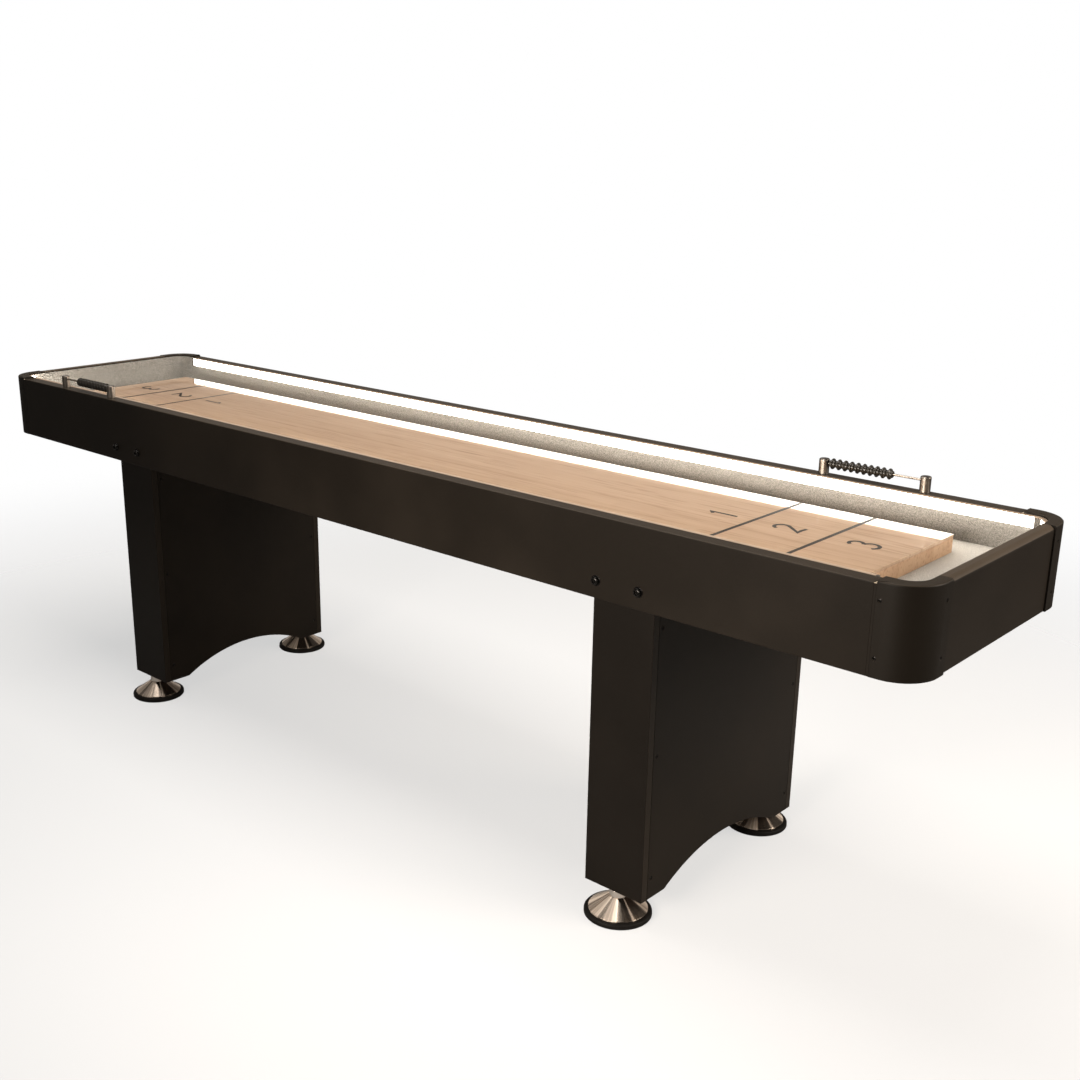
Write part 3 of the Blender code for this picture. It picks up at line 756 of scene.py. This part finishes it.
def light_strip(name, way):
    """One strip, drawn along the back and turned half round for the front."""
    low, high = LIGHT_LOW, LIGHT_HIGH
    lip = high - CHANNEL_WALL
    wall = LIGHT_OFF_WALL + CHANNEL_WALL
    seat = COVER_BACK + HAIRLINE
    front = LIGHT_DEPTH - FIT
    start = [(Vector((-LIGHT_END + PLUG_LONG, INNER_Y)), Vector((0, 1)))]

    def turned_round(points):
        return [(way * at, way * out) for at, out in points]

    whole = turned_round(start + wall_turn(1, 1, 90, 90 - LIGHT_WRAP, 18))
    channel = [(LIGHT_OFF_WALL, low), (COVER_BACK, low), (COVER_BACK, low + CHANNEL_WALL),
               (wall, low + CHANNEL_WALL), (wall, lip), (LIGHT_DEPTH, lip), (LIGHT_DEPTH, high),
               (LIGHT_OFF_WALL, high)]
    work = bmesh.new()
    swept(work, whole, channel)
    piece(made(work, f"{name}_channel"), [CHANNEL_WHITE], stands_for=[name])
    cover = rounded([(seat, low + COVER_SLACK, 0), (front, low + COVER_SLACK, 0.0042),
                     (front, lip - COVER_SLACK, 0.0025), (seat, lip - COVER_SLACK, 0)], 7)
    work = bmesh.new()
    swept(work, turned_round(start + wall_turn(1, 1, 90, CLIP_FROM + 1, 3)), cover)
    swept(work, turned_round(wall_turn(1, 1, CLIP_TO - 1, 90 - LIGHT_WRAP, 10)), cover)
    opal = opal_cover(f"{name}_diffuser", GLOW_STRENGTHS[name])
    piece(made(work, f"{name}_cover"), [opal])
    work = bmesh.new()
    clip = rounded([(seat, low, 0), (LIGHT_DEPTH - CLIP_IN, low, 0.002),
                    (LIGHT_DEPTH - CLIP_IN, lip - COVER_SLACK, 0.002), (seat, lip - COVER_SLACK, 0)], 4)
    swept(work, turned_round(wall_turn(1, 1, CLIP_FROM, CLIP_TO, 6)), clip)
    piece(made(work, f"{name}_clip"), [CLIP_GREY])
    work = bmesh.new()
    ends = sorted((way * -LIGHT_END, way * (-LIGHT_END + PLUG_LONG - FIT)))
    depths = sorted((way * (INNER_Y - LIGHT_OFF_WALL), way * (INNER_Y - LIGHT_DEPTH)))
    plank(work, square(*depths, low, high), *ends, "X", edge=0.0014, steps=3)
    piece(made(work, f"{name}_plug"), [PLUG_GREY])


light_strip("light_strip_back", 1)
light_strip("light_strip_front", -1)

# ---------------------------------------------------------------- playfield
# A laminated hardwood board under a thick poured coat, bonded to a plain base board.  Staves of
# slightly different tone run the length of the table.
BOARD_LOW, BOARD_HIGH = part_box("playfield_board")
TOP_LAYER = 0.0069
STAVE_WIDTH = 0.0335
STAVE_LENGTH = 0.62
BOARD_CORNER = 0.003
BOARD_EASED = 0.0009
GLUE_LINE = 0.0001
COURT_PALE = (0.60, 0.425, 0.29)
COURT_DEEP = (0.44, 0.29, 0.185)
BASE_PALE = (0.60, 0.41, 0.27)
BASE_DEEP = (0.47, 0.30, 0.185)
STREAK = (0.24, 0.125, 0.062)


def hardwood(name, pale, deep, coat):
    """Maple staves: long fine figure, slow bands of colour and a few darker streaks."""
    finish = Finish(name)
    lay_up = {"Vector": finish.at, "Color1": (0, 0, 0), "Color2": (1, 1, 1), "Mortar": (0.5, 0.5, 0.5),
              "Scale": 1.0, "Mortar Size": 0.0, "Brick Width": STAVE_LENGTH, "Row Height": STAVE_WIDTH}
    staves = finish.node("TexBrick", {"offset": 0.37, "offset_frequency": 2}, lay_up)
    figure = finish.noise(1, 5, finish.stretched((2.2, 90, 90)))
    fibre = finish.noise(1, 3, finish.stretched((14, 900, 900)))
    band = finish.noise(1, 2, finish.stretched((1.1, 9, 9)))
    streak = finish.ramp(finish.noise(1, 3, finish.stretched((1.4, 46, 46))), 0.60, 0.72)
    fleck = finish.ramp(finish.noise(1, 4, finish.stretched((9, 150, 150))), 0.52, 0.70)
    tone = finish.mix(staves * 0.36 + figure * 0.80 + band * 0.35 + fibre * 0.12 - 0.34, pale, deep)
    tone = finish.mix(streak * 0.36 + fleck * 0.38, tone, STREAK)
    return finish.surface(Base_Color=tone, Roughness=0.42 + fibre * 0.16, Coat_Weight=coat,
                          Coat_Roughness=0.035, Normal=finish.bump(fibre, 0.05, 0.0003),
                          Specular_IOR_Level=0.12)


COURT_WOOD = hardwood("court_wood", COURT_PALE, COURT_DEEP, 1.0)
BASE_WOOD = hardwood("base_wood", BASE_PALE, BASE_DEEP, 0.25)


def playfield():
    """The coated top layer and the board that it is bonded to."""
    x, y = BOARD_HIGH.x, BOARD_HIGH.y
    joint = BOARD_HIGH.z - TOP_LAYER
    corners = [(-x, -y), (x, -y), (x, y), (-x, y)]
    outline = rounded([(*corner, BOARD_CORNER) for corner in corners], 4)
    work = bmesh.new()
    plank(work, outline, joint, BOARD_HIGH.z, "Z", edge=BOARD_EASED, steps=3)
    piece(made(work, "playfield_top"), [COURT_WOOD], stands_for=["playfield_board"])
    work = bmesh.new()
    plank(work, outline, BOARD_LOW.z, joint - GLUE_LINE, "Z", edge=0.0007, steps=2)
    piece(made(work, "playfield_base"), [BASE_WOOD])


playfield()

# ---------------------------------------------------------------- court markings
# Two cross lines and the numbers of three scoring zones at each end, screened on in thin dark
# ink, with the tops of the numbers towards the middle of the table.
LINE_PLACES = (0.8843, 1.0436)
LINE_WIDTH = 0.0082
INK = 0.00012
INK_SUNK = 0.0002
INK_DARK = (0.008, 0.007, 0.006)
INK_WORN = (0.026, 0.021, 0.017)
DIGIT_TALL = 0.058
DIGIT_STROKE = 0.0074
DIGIT_PLACES = {"1": (0.819, 0.001), "2": (0.961, 0.002), "3": (1.115, 0.001)}


def ink():
    """Dark printing ink, worn paler in places."""
    finish = Finish("court_ink")
    worn = finish.ramp(finish.noise(70, 4), 0.30, 0.75)
    tone = finish.mix(worn, INK_DARK, INK_WORN)
    return finish.surface(Base_Color=tone, Roughness=0.45 + worn * 0.1, Specular_IOR_Level=0.15)


def bow(centre, radius, start, end, steps=16):
    """Points on an arc, in degrees, for a pen stroke."""
    angles = [math.radians(start + (end - start) * k / steps) for k in range(steps + 1)]
    return [(centre[0] + radius * math.cos(a), centre[1] + radius * math.sin(a)) for a in angles]


def pen_strokes(digit):
    """The strokes of a plain number, in shares of its height, from its middle."""
    if digit == "1":
        return [[(-0.14, 0.34), (0.03, 0.5), (0.03, -0.5)]]
    if digit == "2":
        hook = bow((0, 0.25), 0.25, 165, -32)
        return [hook + [(-0.26, -0.47), (0.0, -0.45), (0.27, -0.49)]]
    return [bow((-0.01, 0.27), 0.225, 150, -80), bow((-0.01, -0.22), 0.27, 82, -150)]


def ribbon(work, points, width, low, high):
    """A flat pen stroke with square ends along points in plan."""
    points = [Vector(p) for p in points]
    rows = []
    for k, here in enumerate(points):
        before = points[max(k - 1, 0)]
        after = points[min(k + 1, len(points) - 1)]
        first = (here - before).normalized() if k else (after - here).normalized()
        second = (after - here).normalized() if k < len(points) - 1 else first
        along = (first + second).normalized()
        reach = width / 2 / max(0.5, along.dot(first))
        across = Vector((-along.y, along.x)) * reach
        rows.append([work.verts.new((*(here + s * across), z)) for s, z in
                     ((-1, low), (1, low), (1, high), (-1, high))])
    faces = [work.faces.new(rows[0]), work.faces.new(rows[-1])]
    for here, there in zip(rows, rows[1:]):
        for j in range(4):
            faces.append(work.faces.new((here[j - 1], here[j], there[j], there[j - 1])))
    bmesh.ops.recalc_face_normals(work, faces=faces)


COURT_INK = ink()


def markings(name, end):
    """The lines and numbers of one end, drawn for the right end and turned for the left."""
    low = BOARD_HIGH.z - INK_SUNK
    high = BOARD_HIGH.z + INK
    reach = BOARD_HIGH.y - BOARD_EASED
    work = bmesh.new()
    for x in LINE_PLACES:
        ribbon(work, [(end * x, -reach), (end * x, reach)], LINE_WIDTH, low, high)
    piece(made(work, f"cross_lines_{name}"), [COURT_INK])
    work = bmesh.new()
    for digit, (x, y) in DIGIT_PLACES.items():
        for stroke in pen_strokes(digit):
            plan = [(end * (x - v * DIGIT_TALL), end * (y + u * DIGIT_TALL)) for u, v in stroke]
            ribbon(work, plan, DIGIT_STROKE, low, high)
    piece(made(work, f"zone_numbers_{name}"), [COURT_INK])


markings("right", 1)
markings("left", -1)

# ---------------------------------------------------------------- legs
# Each leg is a box of two upright face boards and two wide panels with an arch cut in the foot,
# screwed to a glued block inside it.  The panels are screwed on from outside near their edges.
PANEL_SCREWS = (0.613, 0.357, 0.100)
PANEL_SCREW_IN = 0.0101
PANEL_SCREW_HEAD = 0.0040
PANEL_SINK_DEPTH = 0.0018
PANEL_SCREW_SUNK = 0.0014
PANEL_SCREW_DOME = 0.0011
PANEL_SCREW_RECESS = 0.0009
ARCH_RISE = 0.050
ARCH_FOOT = 0.0571
# Tones of the leg faces, darkened as painted shade under the rails.
LEG_SHADE_DARK = (0.0054, 0.0041, 0.0029)
LEG_SHADE_LIGHT = (0.0088, 0.0067, 0.0048)
BAND_DARK = (0.017, 0.0132, 0.0095)
BAND_LIGHT = (0.025, 0.0195, 0.0142)
BLOCK_PALE = (0.070, 0.052, 0.038)
BLOCK_DEEP = (0.045, 0.033, 0.024)


def leg_board(node, mesh_name):
    """An upright face board in a darker copy of the laminate, painted shade under the rail.  Its two sides
    are edge-banded in a lighter laminate.
    """
    low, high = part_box(node)
    work = bmesh.new()
    plank(work, square(low.x, high.x, low.y, high.y), low.z, high.z, "Z", edge=0.0011, steps=3)
    mesh = made(work, mesh_name)
    for face in mesh.polygons:
        face.material_index = int(abs(face.normal.x) > 0.8)
    piece(mesh, [SHADED_LEG_LAMINATE, ESPRESSO_EDGE], stands_for=[node])


def arch(low, high):
    """The outline of a panel in (y, z): square above, and arched between its two feet."""
    half = high.y - ARCH_FOOT
    radius = (half ** 2 + ARCH_RISE ** 2) / (2 * ARCH_RISE)
    spread = math.degrees(math.asin(half / radius))
    curve = bow((0, low.z + ARCH_RISE - radius), radius, 90 + spread, 90 - spread, 44)
    return curve + [(high.y, low.z), (high.y, high.z), (low.y, high.z), (low.y, low.z)]


def leg_panel(node, mesh_name, out):
    """A wide arched panel, countersunk for the six screws on its outer side."""
    low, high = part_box(node)
    work = bmesh.new()
    plank(work, arch(low, high), low.x, high.x, "X", edge=0.0009, steps=2)
    mesh = made(work, mesh_name + "_blank")
    face_x = high.x if out > 0 else low.x
    places = [((face_x, side * (high.y - PANEL_SCREW_IN), z), (out, 0, 0))
              for side in (-1, 1) for z in PANEL_SCREWS]
    sinks = countersinks(node + "_sinks", places, PANEL_SCREW_HEAD * 1.1, PANEL_SINK_DEPTH)
    panel = drilled(mesh, sinks)
    panel.name = mesh_name
    piece(panel, [ESPRESSO], stands_for=[node])
    work = bmesh.new()
    for at, facing in places:
        sunk = Vector(at) - Vector(facing) * PANEL_SCREW_SUNK
        screw_head(work, sunk, facing, PANEL_SCREW_HEAD, PANEL_SCREW_DOME, PANEL_SCREW_RECESS, "cross")
    piece(made(work, mesh_name + "_screws"), [SCREW_BLACK])


def leg_block(node, mesh_name):
    """The stained block inside a leg, which the panels and the foot's stem go into."""
    low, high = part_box(node)
    work = bmesh.new()
    plank(work, arch(low, high), low.x, high.x, "X", edge=0.0006, steps=1)
    piece(made(work, mesh_name), [BLOCK_WOOD], stands_for=[node])


# A darker copy of the laminate for the leg faces: painted shade under the overhang of the rails.
SHADED_LEG_LAMINATE = laminate("espresso_leg_painted_shade", LEG_SHADE_DARK, LEG_SHADE_LIGHT)
ESPRESSO_EDGE = laminate("espresso_edge_band", BAND_DARK, BAND_LIGHT, 0.40)
BLOCK_WOOD = hardwood("block_wood", BLOCK_PALE, BLOCK_DEEP, 0.0)
for leg_name, way in (("left", -1), ("right", 1)):
    for side_name in ("front", "back"):
        leg_board(f"leg_{leg_name}_face_{side_name}", f"leg_{leg_name}_{side_name}_board")
    leg_panel(f"leg_{leg_name}_panel_outer", f"leg_{leg_name}_outer_panel", way)
    leg_panel(f"leg_{leg_name}_panel_inner", f"leg_{leg_name}_inner_panel", -way)
    leg_block(f"leg_{leg_name}_core", f"leg_{leg_name}_block")

# ---------------------------------------------------------------- leg bolts
# Two black button-head bolts with washers go through each side rail into the top of each leg.
# A knock-down table is carried in parts, and these eight bolts put it together.
BOLT_SPREAD = 0.048
BOLT_HEIGHT = 0.689
BOLT_HEAD = 0.0088
BOLT_DOME = 0.0050
BOLT_RECESS = 0.0026
WASHER_BORE = 0.0060
WASHER = 0.0104
WASHER_THICK = 0.0012
HEAD_OFF_RAIL = 0.0023
BOLT_WORN = (0.020, 0.018, 0.016)
BOLT_BLACK = black_oxide("black_bolt", 0.18, BOLT_WORN)


def turned_profile(work, profile, at, facing, around=40):
    """A closed profile of (radius, height) turned about facing, added to work at a place."""
    turn = Vector((0, 0, 1)).rotation_difference(Vector(facing)).to_matrix()
    rows = []
    for k in range(around):
        angle = math.tau * k / around
        ring = [Vector((r * math.cos(angle), r * math.sin(angle), z)) for r, z in profile]
        rows.append([work.verts.new(Vector(at) + turn @ point) for point in ring])
    faces = []
    for k in range(around):
        here, there = rows[k - 1], rows[k]
        for j in range(len(profile)):
            faces.append(work.faces.new((here[j - 1], here[j], there[j], there[j - 1])))
    verts = [v for row in rows for v in row]
    bmesh.ops.remove_doubles(work, verts=verts, dist=1e-7)
    alive = [f for f in faces if f.is_valid]
    bmesh.ops.dissolve_degenerate(work, dist=1e-8, edges=list({e for f in alive for e in f.edges}))
    bmesh.ops.recalc_face_normals(work, faces=[f for f in alive if f.is_valid])


WASHER_PROFILE = rounded([(WASHER_BORE, 0, 0), (WASHER, 0, 0.0004), (WASHER, WASHER_THICK, 0.0005),
                          (WASHER_BORE, WASHER_THICK, 0)], 3)
for leg_name in ("left", "right"):
    low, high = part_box(f"leg_{leg_name}_face_front")
    middle = (low.x + high.x) / 2
    for side_name, side in (("front", -1), ("back", 1)):
        work = bmesh.new()
        for x in (middle - BOLT_SPREAD, middle + BOLT_SPREAD):
            washer_at = (x, side * (HALF_WIDTH + HAIRLINE), BOLT_HEIGHT)
            turned_profile(work, WASHER_PROFILE, washer_at, (0, side, 0))
            head_at = (x, side * (HALF_WIDTH + HEAD_OFF_RAIL), BOLT_HEIGHT)
            screw_head(work, head_at, (0, side, 0), BOLT_HEAD, BOLT_DOME, BOLT_RECESS, "hexagon", 48, 14)
        piece(made(work, f"leg_bolts_{leg_name}_{side_name}"), [BOLT_BLACK])

# ---------------------------------------------------------------- levelers
# Screw feet: a black moulded ring grips the floor, a spun and polished steel cone stands in it,
# and a threaded stem with a collar turns in the cone and up into the leg's block.
THREAD_PITCH = 0.00175
THREAD_DEPTH = 0.0008
THREAD_ROUND = 24
THREAD_ROWS = 8
THREAD_EASE = 0.002
RING_WIDTH = 0.017
NECK = 0.0195
CONE_BORE = 0.0067
CONE_THICK = 0.0066
CONE_LIP = 0.003
CONE_LIP_LOW = 0.004
CONE_BRIM = 0.0022
COLLAR_TOP = 0.0547
COLLAR_OFF_THREAD = 0.00005
STEM = 0.0060
STEM_FOOT = 0.010
STEM_FOOT_TALL = 0.005
RUBBER_DARK = (0.005, 0.0045, 0.004)
RUBBER_LIGHT = (0.011, 0.0098, 0.0085)
CHROME_TONE = (0.86, 0.80, 0.73)
SPUN_TONE = (0.97, 0.83, 0.70)


def rubber():
    """Black rubber, finely grained."""
    finish = Finish("foot_rubber")
    grain = finish.noise(900, 3)
    tone = finish.mix(grain, RUBBER_DARK, RUBBER_LIGHT)
    return finish.surface(Base_Color=tone, Roughness=0.48 + grain * 0.18,
                          Normal=finish.bump(grain, 0.25, 0.0003), Specular_IOR_Level=0.12)


def polished_steel(name, tone, shine, streaks=0.0):
    """Bright metal with fine lathe rings round its axis, and dark streaks away from it painted in as
    reflections.
    """
    finish = Finish(name)
    rings = finish.noise(1, 2, finish.stretched((1, 1, 2600)))
    haze = finish.ramp(finish.noise(38, 3), 0.35, 0.75)
    color = finish.mix(haze * 0.4, tone, tuple(c * 0.86 for c in tone))
    metal = 1.0
    # Dark radial streaks in the colour are painted reflections of the room in the spun cone.
    if streaks:
        outwards = finish.node("VectorMath", {"operation": "NORMALIZE"}, {0: finish.stretched((1, 1, 0))})
        broad_reflection = finish.ramp(finish.noise(1.7, 2, outwards), 0.44, 0.56)
        narrow_reflection = finish.ramp(finish.noise(11, 2, outwards), 0.40, 0.62)
        color = finish.mix(broad_reflection * streaks, color, tuple(c * 0.16 for c in tone))
        color = finish.mix(narrow_reflection * streaks * 0.55, color, tuple(c * 0.30 for c in tone))
        metal = broad_reflection * 0.35 + 0.60
    return finish.surface(Base_Color=color, Metallic=metal, Roughness=haze * 0.05 + shine,
                          Normal=finish.bump(rings, 0.03, 0.0001))


def stem_mesh(work, radius, low, high):
    """A real V thread: the radius falls and rises once a pitch along the helix."""
    count = int((high - low) / THREAD_PITCH * THREAD_ROWS)
    rows = []
    for row in range(count + 1):
        z = low + (high - low) * row / count
        ease = min(1.0, (high - z) / THREAD_EASE, (z - low) / THREAD_EASE)
        ring = []
        for k in range(THREAD_ROUND):
            phase = (z / THREAD_PITCH - k / THREAD_ROUND) % 1
            cut = THREAD_DEPTH * abs(2 * phase - 1)
            r = radius - cut * ease
            angle = math.tau * k / THREAD_ROUND
            ring.append(work.verts.new((r * math.cos(angle), r * math.sin(angle), z)))
        rows.append(ring)
    faces = [work.faces.new(rows[0]), work.faces.new(rows[-1])]
    for here, there in zip(rows, rows[1:]):
        for k in range(THREAD_ROUND):
            faces.append(work.faces.new((here[k - 1], here[k], there[k], there[k - 1])))
    bmesh.ops.recalc_face_normals(work, faces=faces)


FOOT_RUBBER = rubber()
CHROME = polished_steel("polished_chrome", CHROME_TONE, 0.10)
# The spun cone carries the painted reflection streaks.
SPUN_CHROME = polished_steel("spun_chrome", SPUN_TONE, 0.20, 0.95)


def leveler(name):
    """A screw foot: the ring and cone ride together, and the stem turns in them."""
    ring_low, ring_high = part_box(f"foot_{name}_ring")
    cone_low, cone_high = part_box(f"foot_{name}_cone")
    stem_low, stem_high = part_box(f"foot_{name}_stem")
    centre = ((ring_low.x + ring_high.x) / 2, (ring_low.y + ring_high.y) / 2, 0)
    foot, stem = f"foot_{name}", f"stem_{name}"
    ring_r = (ring_high.x - ring_low.x) / 2
    ring_top = ring_high.z
    inside = ring_r - RING_WIDTH
    work = bmesh.new()
    ring = rounded([(inside, 0, 0), (ring_r, 0, 0.0012), (ring_r, ring_top, 0.0044),
                    (inside, ring_top, 0.001)], 8)
    turned_profile(work, ring, (0, 0, 0), (0, 0, 1), 96)
    piece(made(work, f"leveler_{name}_ring"), [FOOT_RUBBER], foot, [foot + "_ring"], centre)
    cone_r = (cone_high.x - cone_low.x) / 2
    seat = ring_top + FIT
    top = cone_high.z
    lip = inside - CONE_LIP
    under = top - CONE_THICK
    work = bmesh.new()
    cone = rounded([(CONE_BORE, top, 0), (NECK, top, 0.0012), (cone_r, seat + CONE_BRIM, 0.0008),
                    (cone_r, seat, 0), (inside, seat, 0), (inside, seat - CONE_LIP_LOW, 0),
                    (lip, seat - CONE_LIP_LOW, 0), (lip, seat + CONE_BRIM, 0), (NECK, under, 0),
                    (CONE_BORE, under, 0)], 4)
    turned_profile(work, cone, (0, 0, 0), (0, 0, 1), 128)
    piece(made(work, f"leveler_{name}_cone"), [SPUN_CHROME], foot, [foot + "_cone"], centre)
    collar_r = (stem_high.x - stem_low.x) / 2
    collar_low = top + FIT
    work = bmesh.new()
    collar = rounded([(0, collar_low, 0), (collar_r, collar_low, 0.0008), (collar_r, COLLAR_TOP, 0.0014),
                      (0, COLLAR_TOP, 0)], 4)
    turned_profile(work, collar, (0, 0, 0), (0, 0, 1), 96)
    stem_mesh(work, STEM, COLLAR_TOP + COLLAR_OFF_THREAD, stem_high.z)
    shank_top = collar_low - COLLAR_OFF_THREAD
    foot_top = stem_low.z + STEM_FOOT_TALL
    shank = [(0, stem_low.z), (STEM_FOOT, stem_low.z), (STEM_FOOT, foot_top), (STEM, foot_top),
             (STEM, shank_top), (0, shank_top)]
    turned_profile(work, shank, (0, 0, 0), (0, 0, 1), 48)
    piece(made(work, f"leveler_{name}_stem"), [CHROME], stem, [foot + "_stem"], centre)


for end_name in ("left", "right"):
    for side_name in ("front", "back"):
        leveler(f"{end_name}_{side_name}")

# ---------------------------------------------------------------- scorers
# Ten turned black beads slide on a bright rod between two posts of dark plated metal, one set on
# each side rail.  Every bead is a barrel with a narrow ridge that a finger can push.
BEADS = 10
BEAD_RIDGE = 0.0016
BEAD_BORE = 0.0031
BEAD_END = 0.0060
BEAD_SHOULDER = 0.0068
BEAD_SWELL = 0.0010
BEAD_WAIST = 0.0081
BEAD_EASED = 0.0006
BEAD_STEPS = 6
ROD_EASED = 0.0005
POST_ROUND = 0.0026
PLATING_DARK = (0.17, 0.150, 0.13)
PLATING_LIGHT = (0.26, 0.235, 0.21)
BEAD_DARK = (0.019, 0.017, 0.014)
BEAD_LIGHT = (0.031, 0.028, 0.023)
ROD_TONE = (0.44, 0.39, 0.34)


def plated_metal():
    """Dark smoky plating, polished, with fine scratches along it."""
    finish = Finish("dark_plating")
    scratch = finish.noise(1, 3, finish.stretched((2200, 2200, 120)))
    haze = finish.noise(60, 2)
    tone = finish.mix(haze, PLATING_DARK, PLATING_LIGHT)
    return finish.surface(Base_Color=tone, Metallic=1.0, Roughness=scratch * 0.10 + 0.24,
                          Normal=finish.bump(scratch, 0.04, 0.0001))


def bead_plastic():
    """Black plastic, smooth and glossy."""
    finish = Finish("bead_black")
    cloud = finish.noise(130, 2)
    tone = finish.mix(cloud, BEAD_DARK, BEAD_LIGHT)
    return finish.surface(Base_Color=tone, Roughness=cloud * 0.08 + 0.16, Specular_IOR_Level=0.42)


DARK_PLATING = plated_metal()
BEAD_BLACK = bead_plastic()
ROD_STEEL = polished_steel("rod_steel", ROD_TONE, 0.22)


def bead_profile(half, ridge):
    """One bead in (radius, place along the rod): a barrel on each side of a narrow ridge."""
    swell_long = half - BEAD_EASED - BEAD_RIDGE * 1.5
    rim = [(BEAD_BORE, -half), (BEAD_END, -half), (BEAD_SHOULDER, -half + BEAD_EASED)]
    for step in range(1, BEAD_STEPS):
        share = step / BEAD_STEPS
        radius = BEAD_SHOULDER + BEAD_SWELL * math.sin(share * math.pi / 2)
        rim.append((radius, -half + BEAD_EASED + share * swell_long))
    rim += [(BEAD_WAIST, -BEAD_RIDGE * 1.4), (ridge - 0.0008, -BEAD_RIDGE * 0.95)]
    rim += [(ridge - 0.0002, -BEAD_RIDGE * 0.55), (ridge, 0)]
    return rim + [(radius, -x) for radius, x in reversed(rim[:-1])]


def scorer(side_name):
    """One rail's posts and rod, with its ten beads on bodies of their own."""
    for post in ("inner", "outer"):
        node = f"scorer_{side_name}_post_{post}"
        low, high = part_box(node)
        radius = (high.y - low.y) / 2
        tall = high.z - low.z
        work = bmesh.new()
        profile = rounded([(0, 0, 0), (radius, 0, 0.0005), (radius, tall, POST_ROUND), (0, tall, 0)], 7)
        turned_profile(work, profile, (0, 0, 0), (0, 0, 1), 64)
        at = ((low.x + high.x) / 2, (low.y + high.y) / 2, low.z)
        name = f"scorer_{side_name}_{post}_post"
        piece(made(work, name), [DARK_PLATING], TABLE, [node], at)
    node = f"scorer_{side_name}_rod"
    low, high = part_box(node)
    radius = (high.z - low.z) / 2
    work = bmesh.new()
    profile = rounded([(0, low.x, 0), (radius, low.x, ROD_EASED), (radius, high.x, ROD_EASED),
                       (0, high.x, 0)], 3)
    turned_profile(work, profile, (0, (low.y + high.y) / 2, (low.z + high.z) / 2), (1, 0, 0), 24)
    piece(made(work, f"scorer_{side_name}_slide_rod"), [ROD_STEEL], TABLE, [node])
    for k in range(1, BEADS + 1):
        node = f"scorer_{side_name}_bead_{k}"
        low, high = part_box(node)
        work = bmesh.new()
        profile = bead_profile((high.x - low.x) / 2, (high.z - low.z) / 2)
        turned_profile(work, profile, (0, 0, 0), (1, 0, 0), 48)
        body = f"bead_{side_name}_{k}"
        piece(made(work, f"score_{body}"), [BEAD_BLACK], body, [node], (low + high) / 2)


scorer("front")
scorer("back")
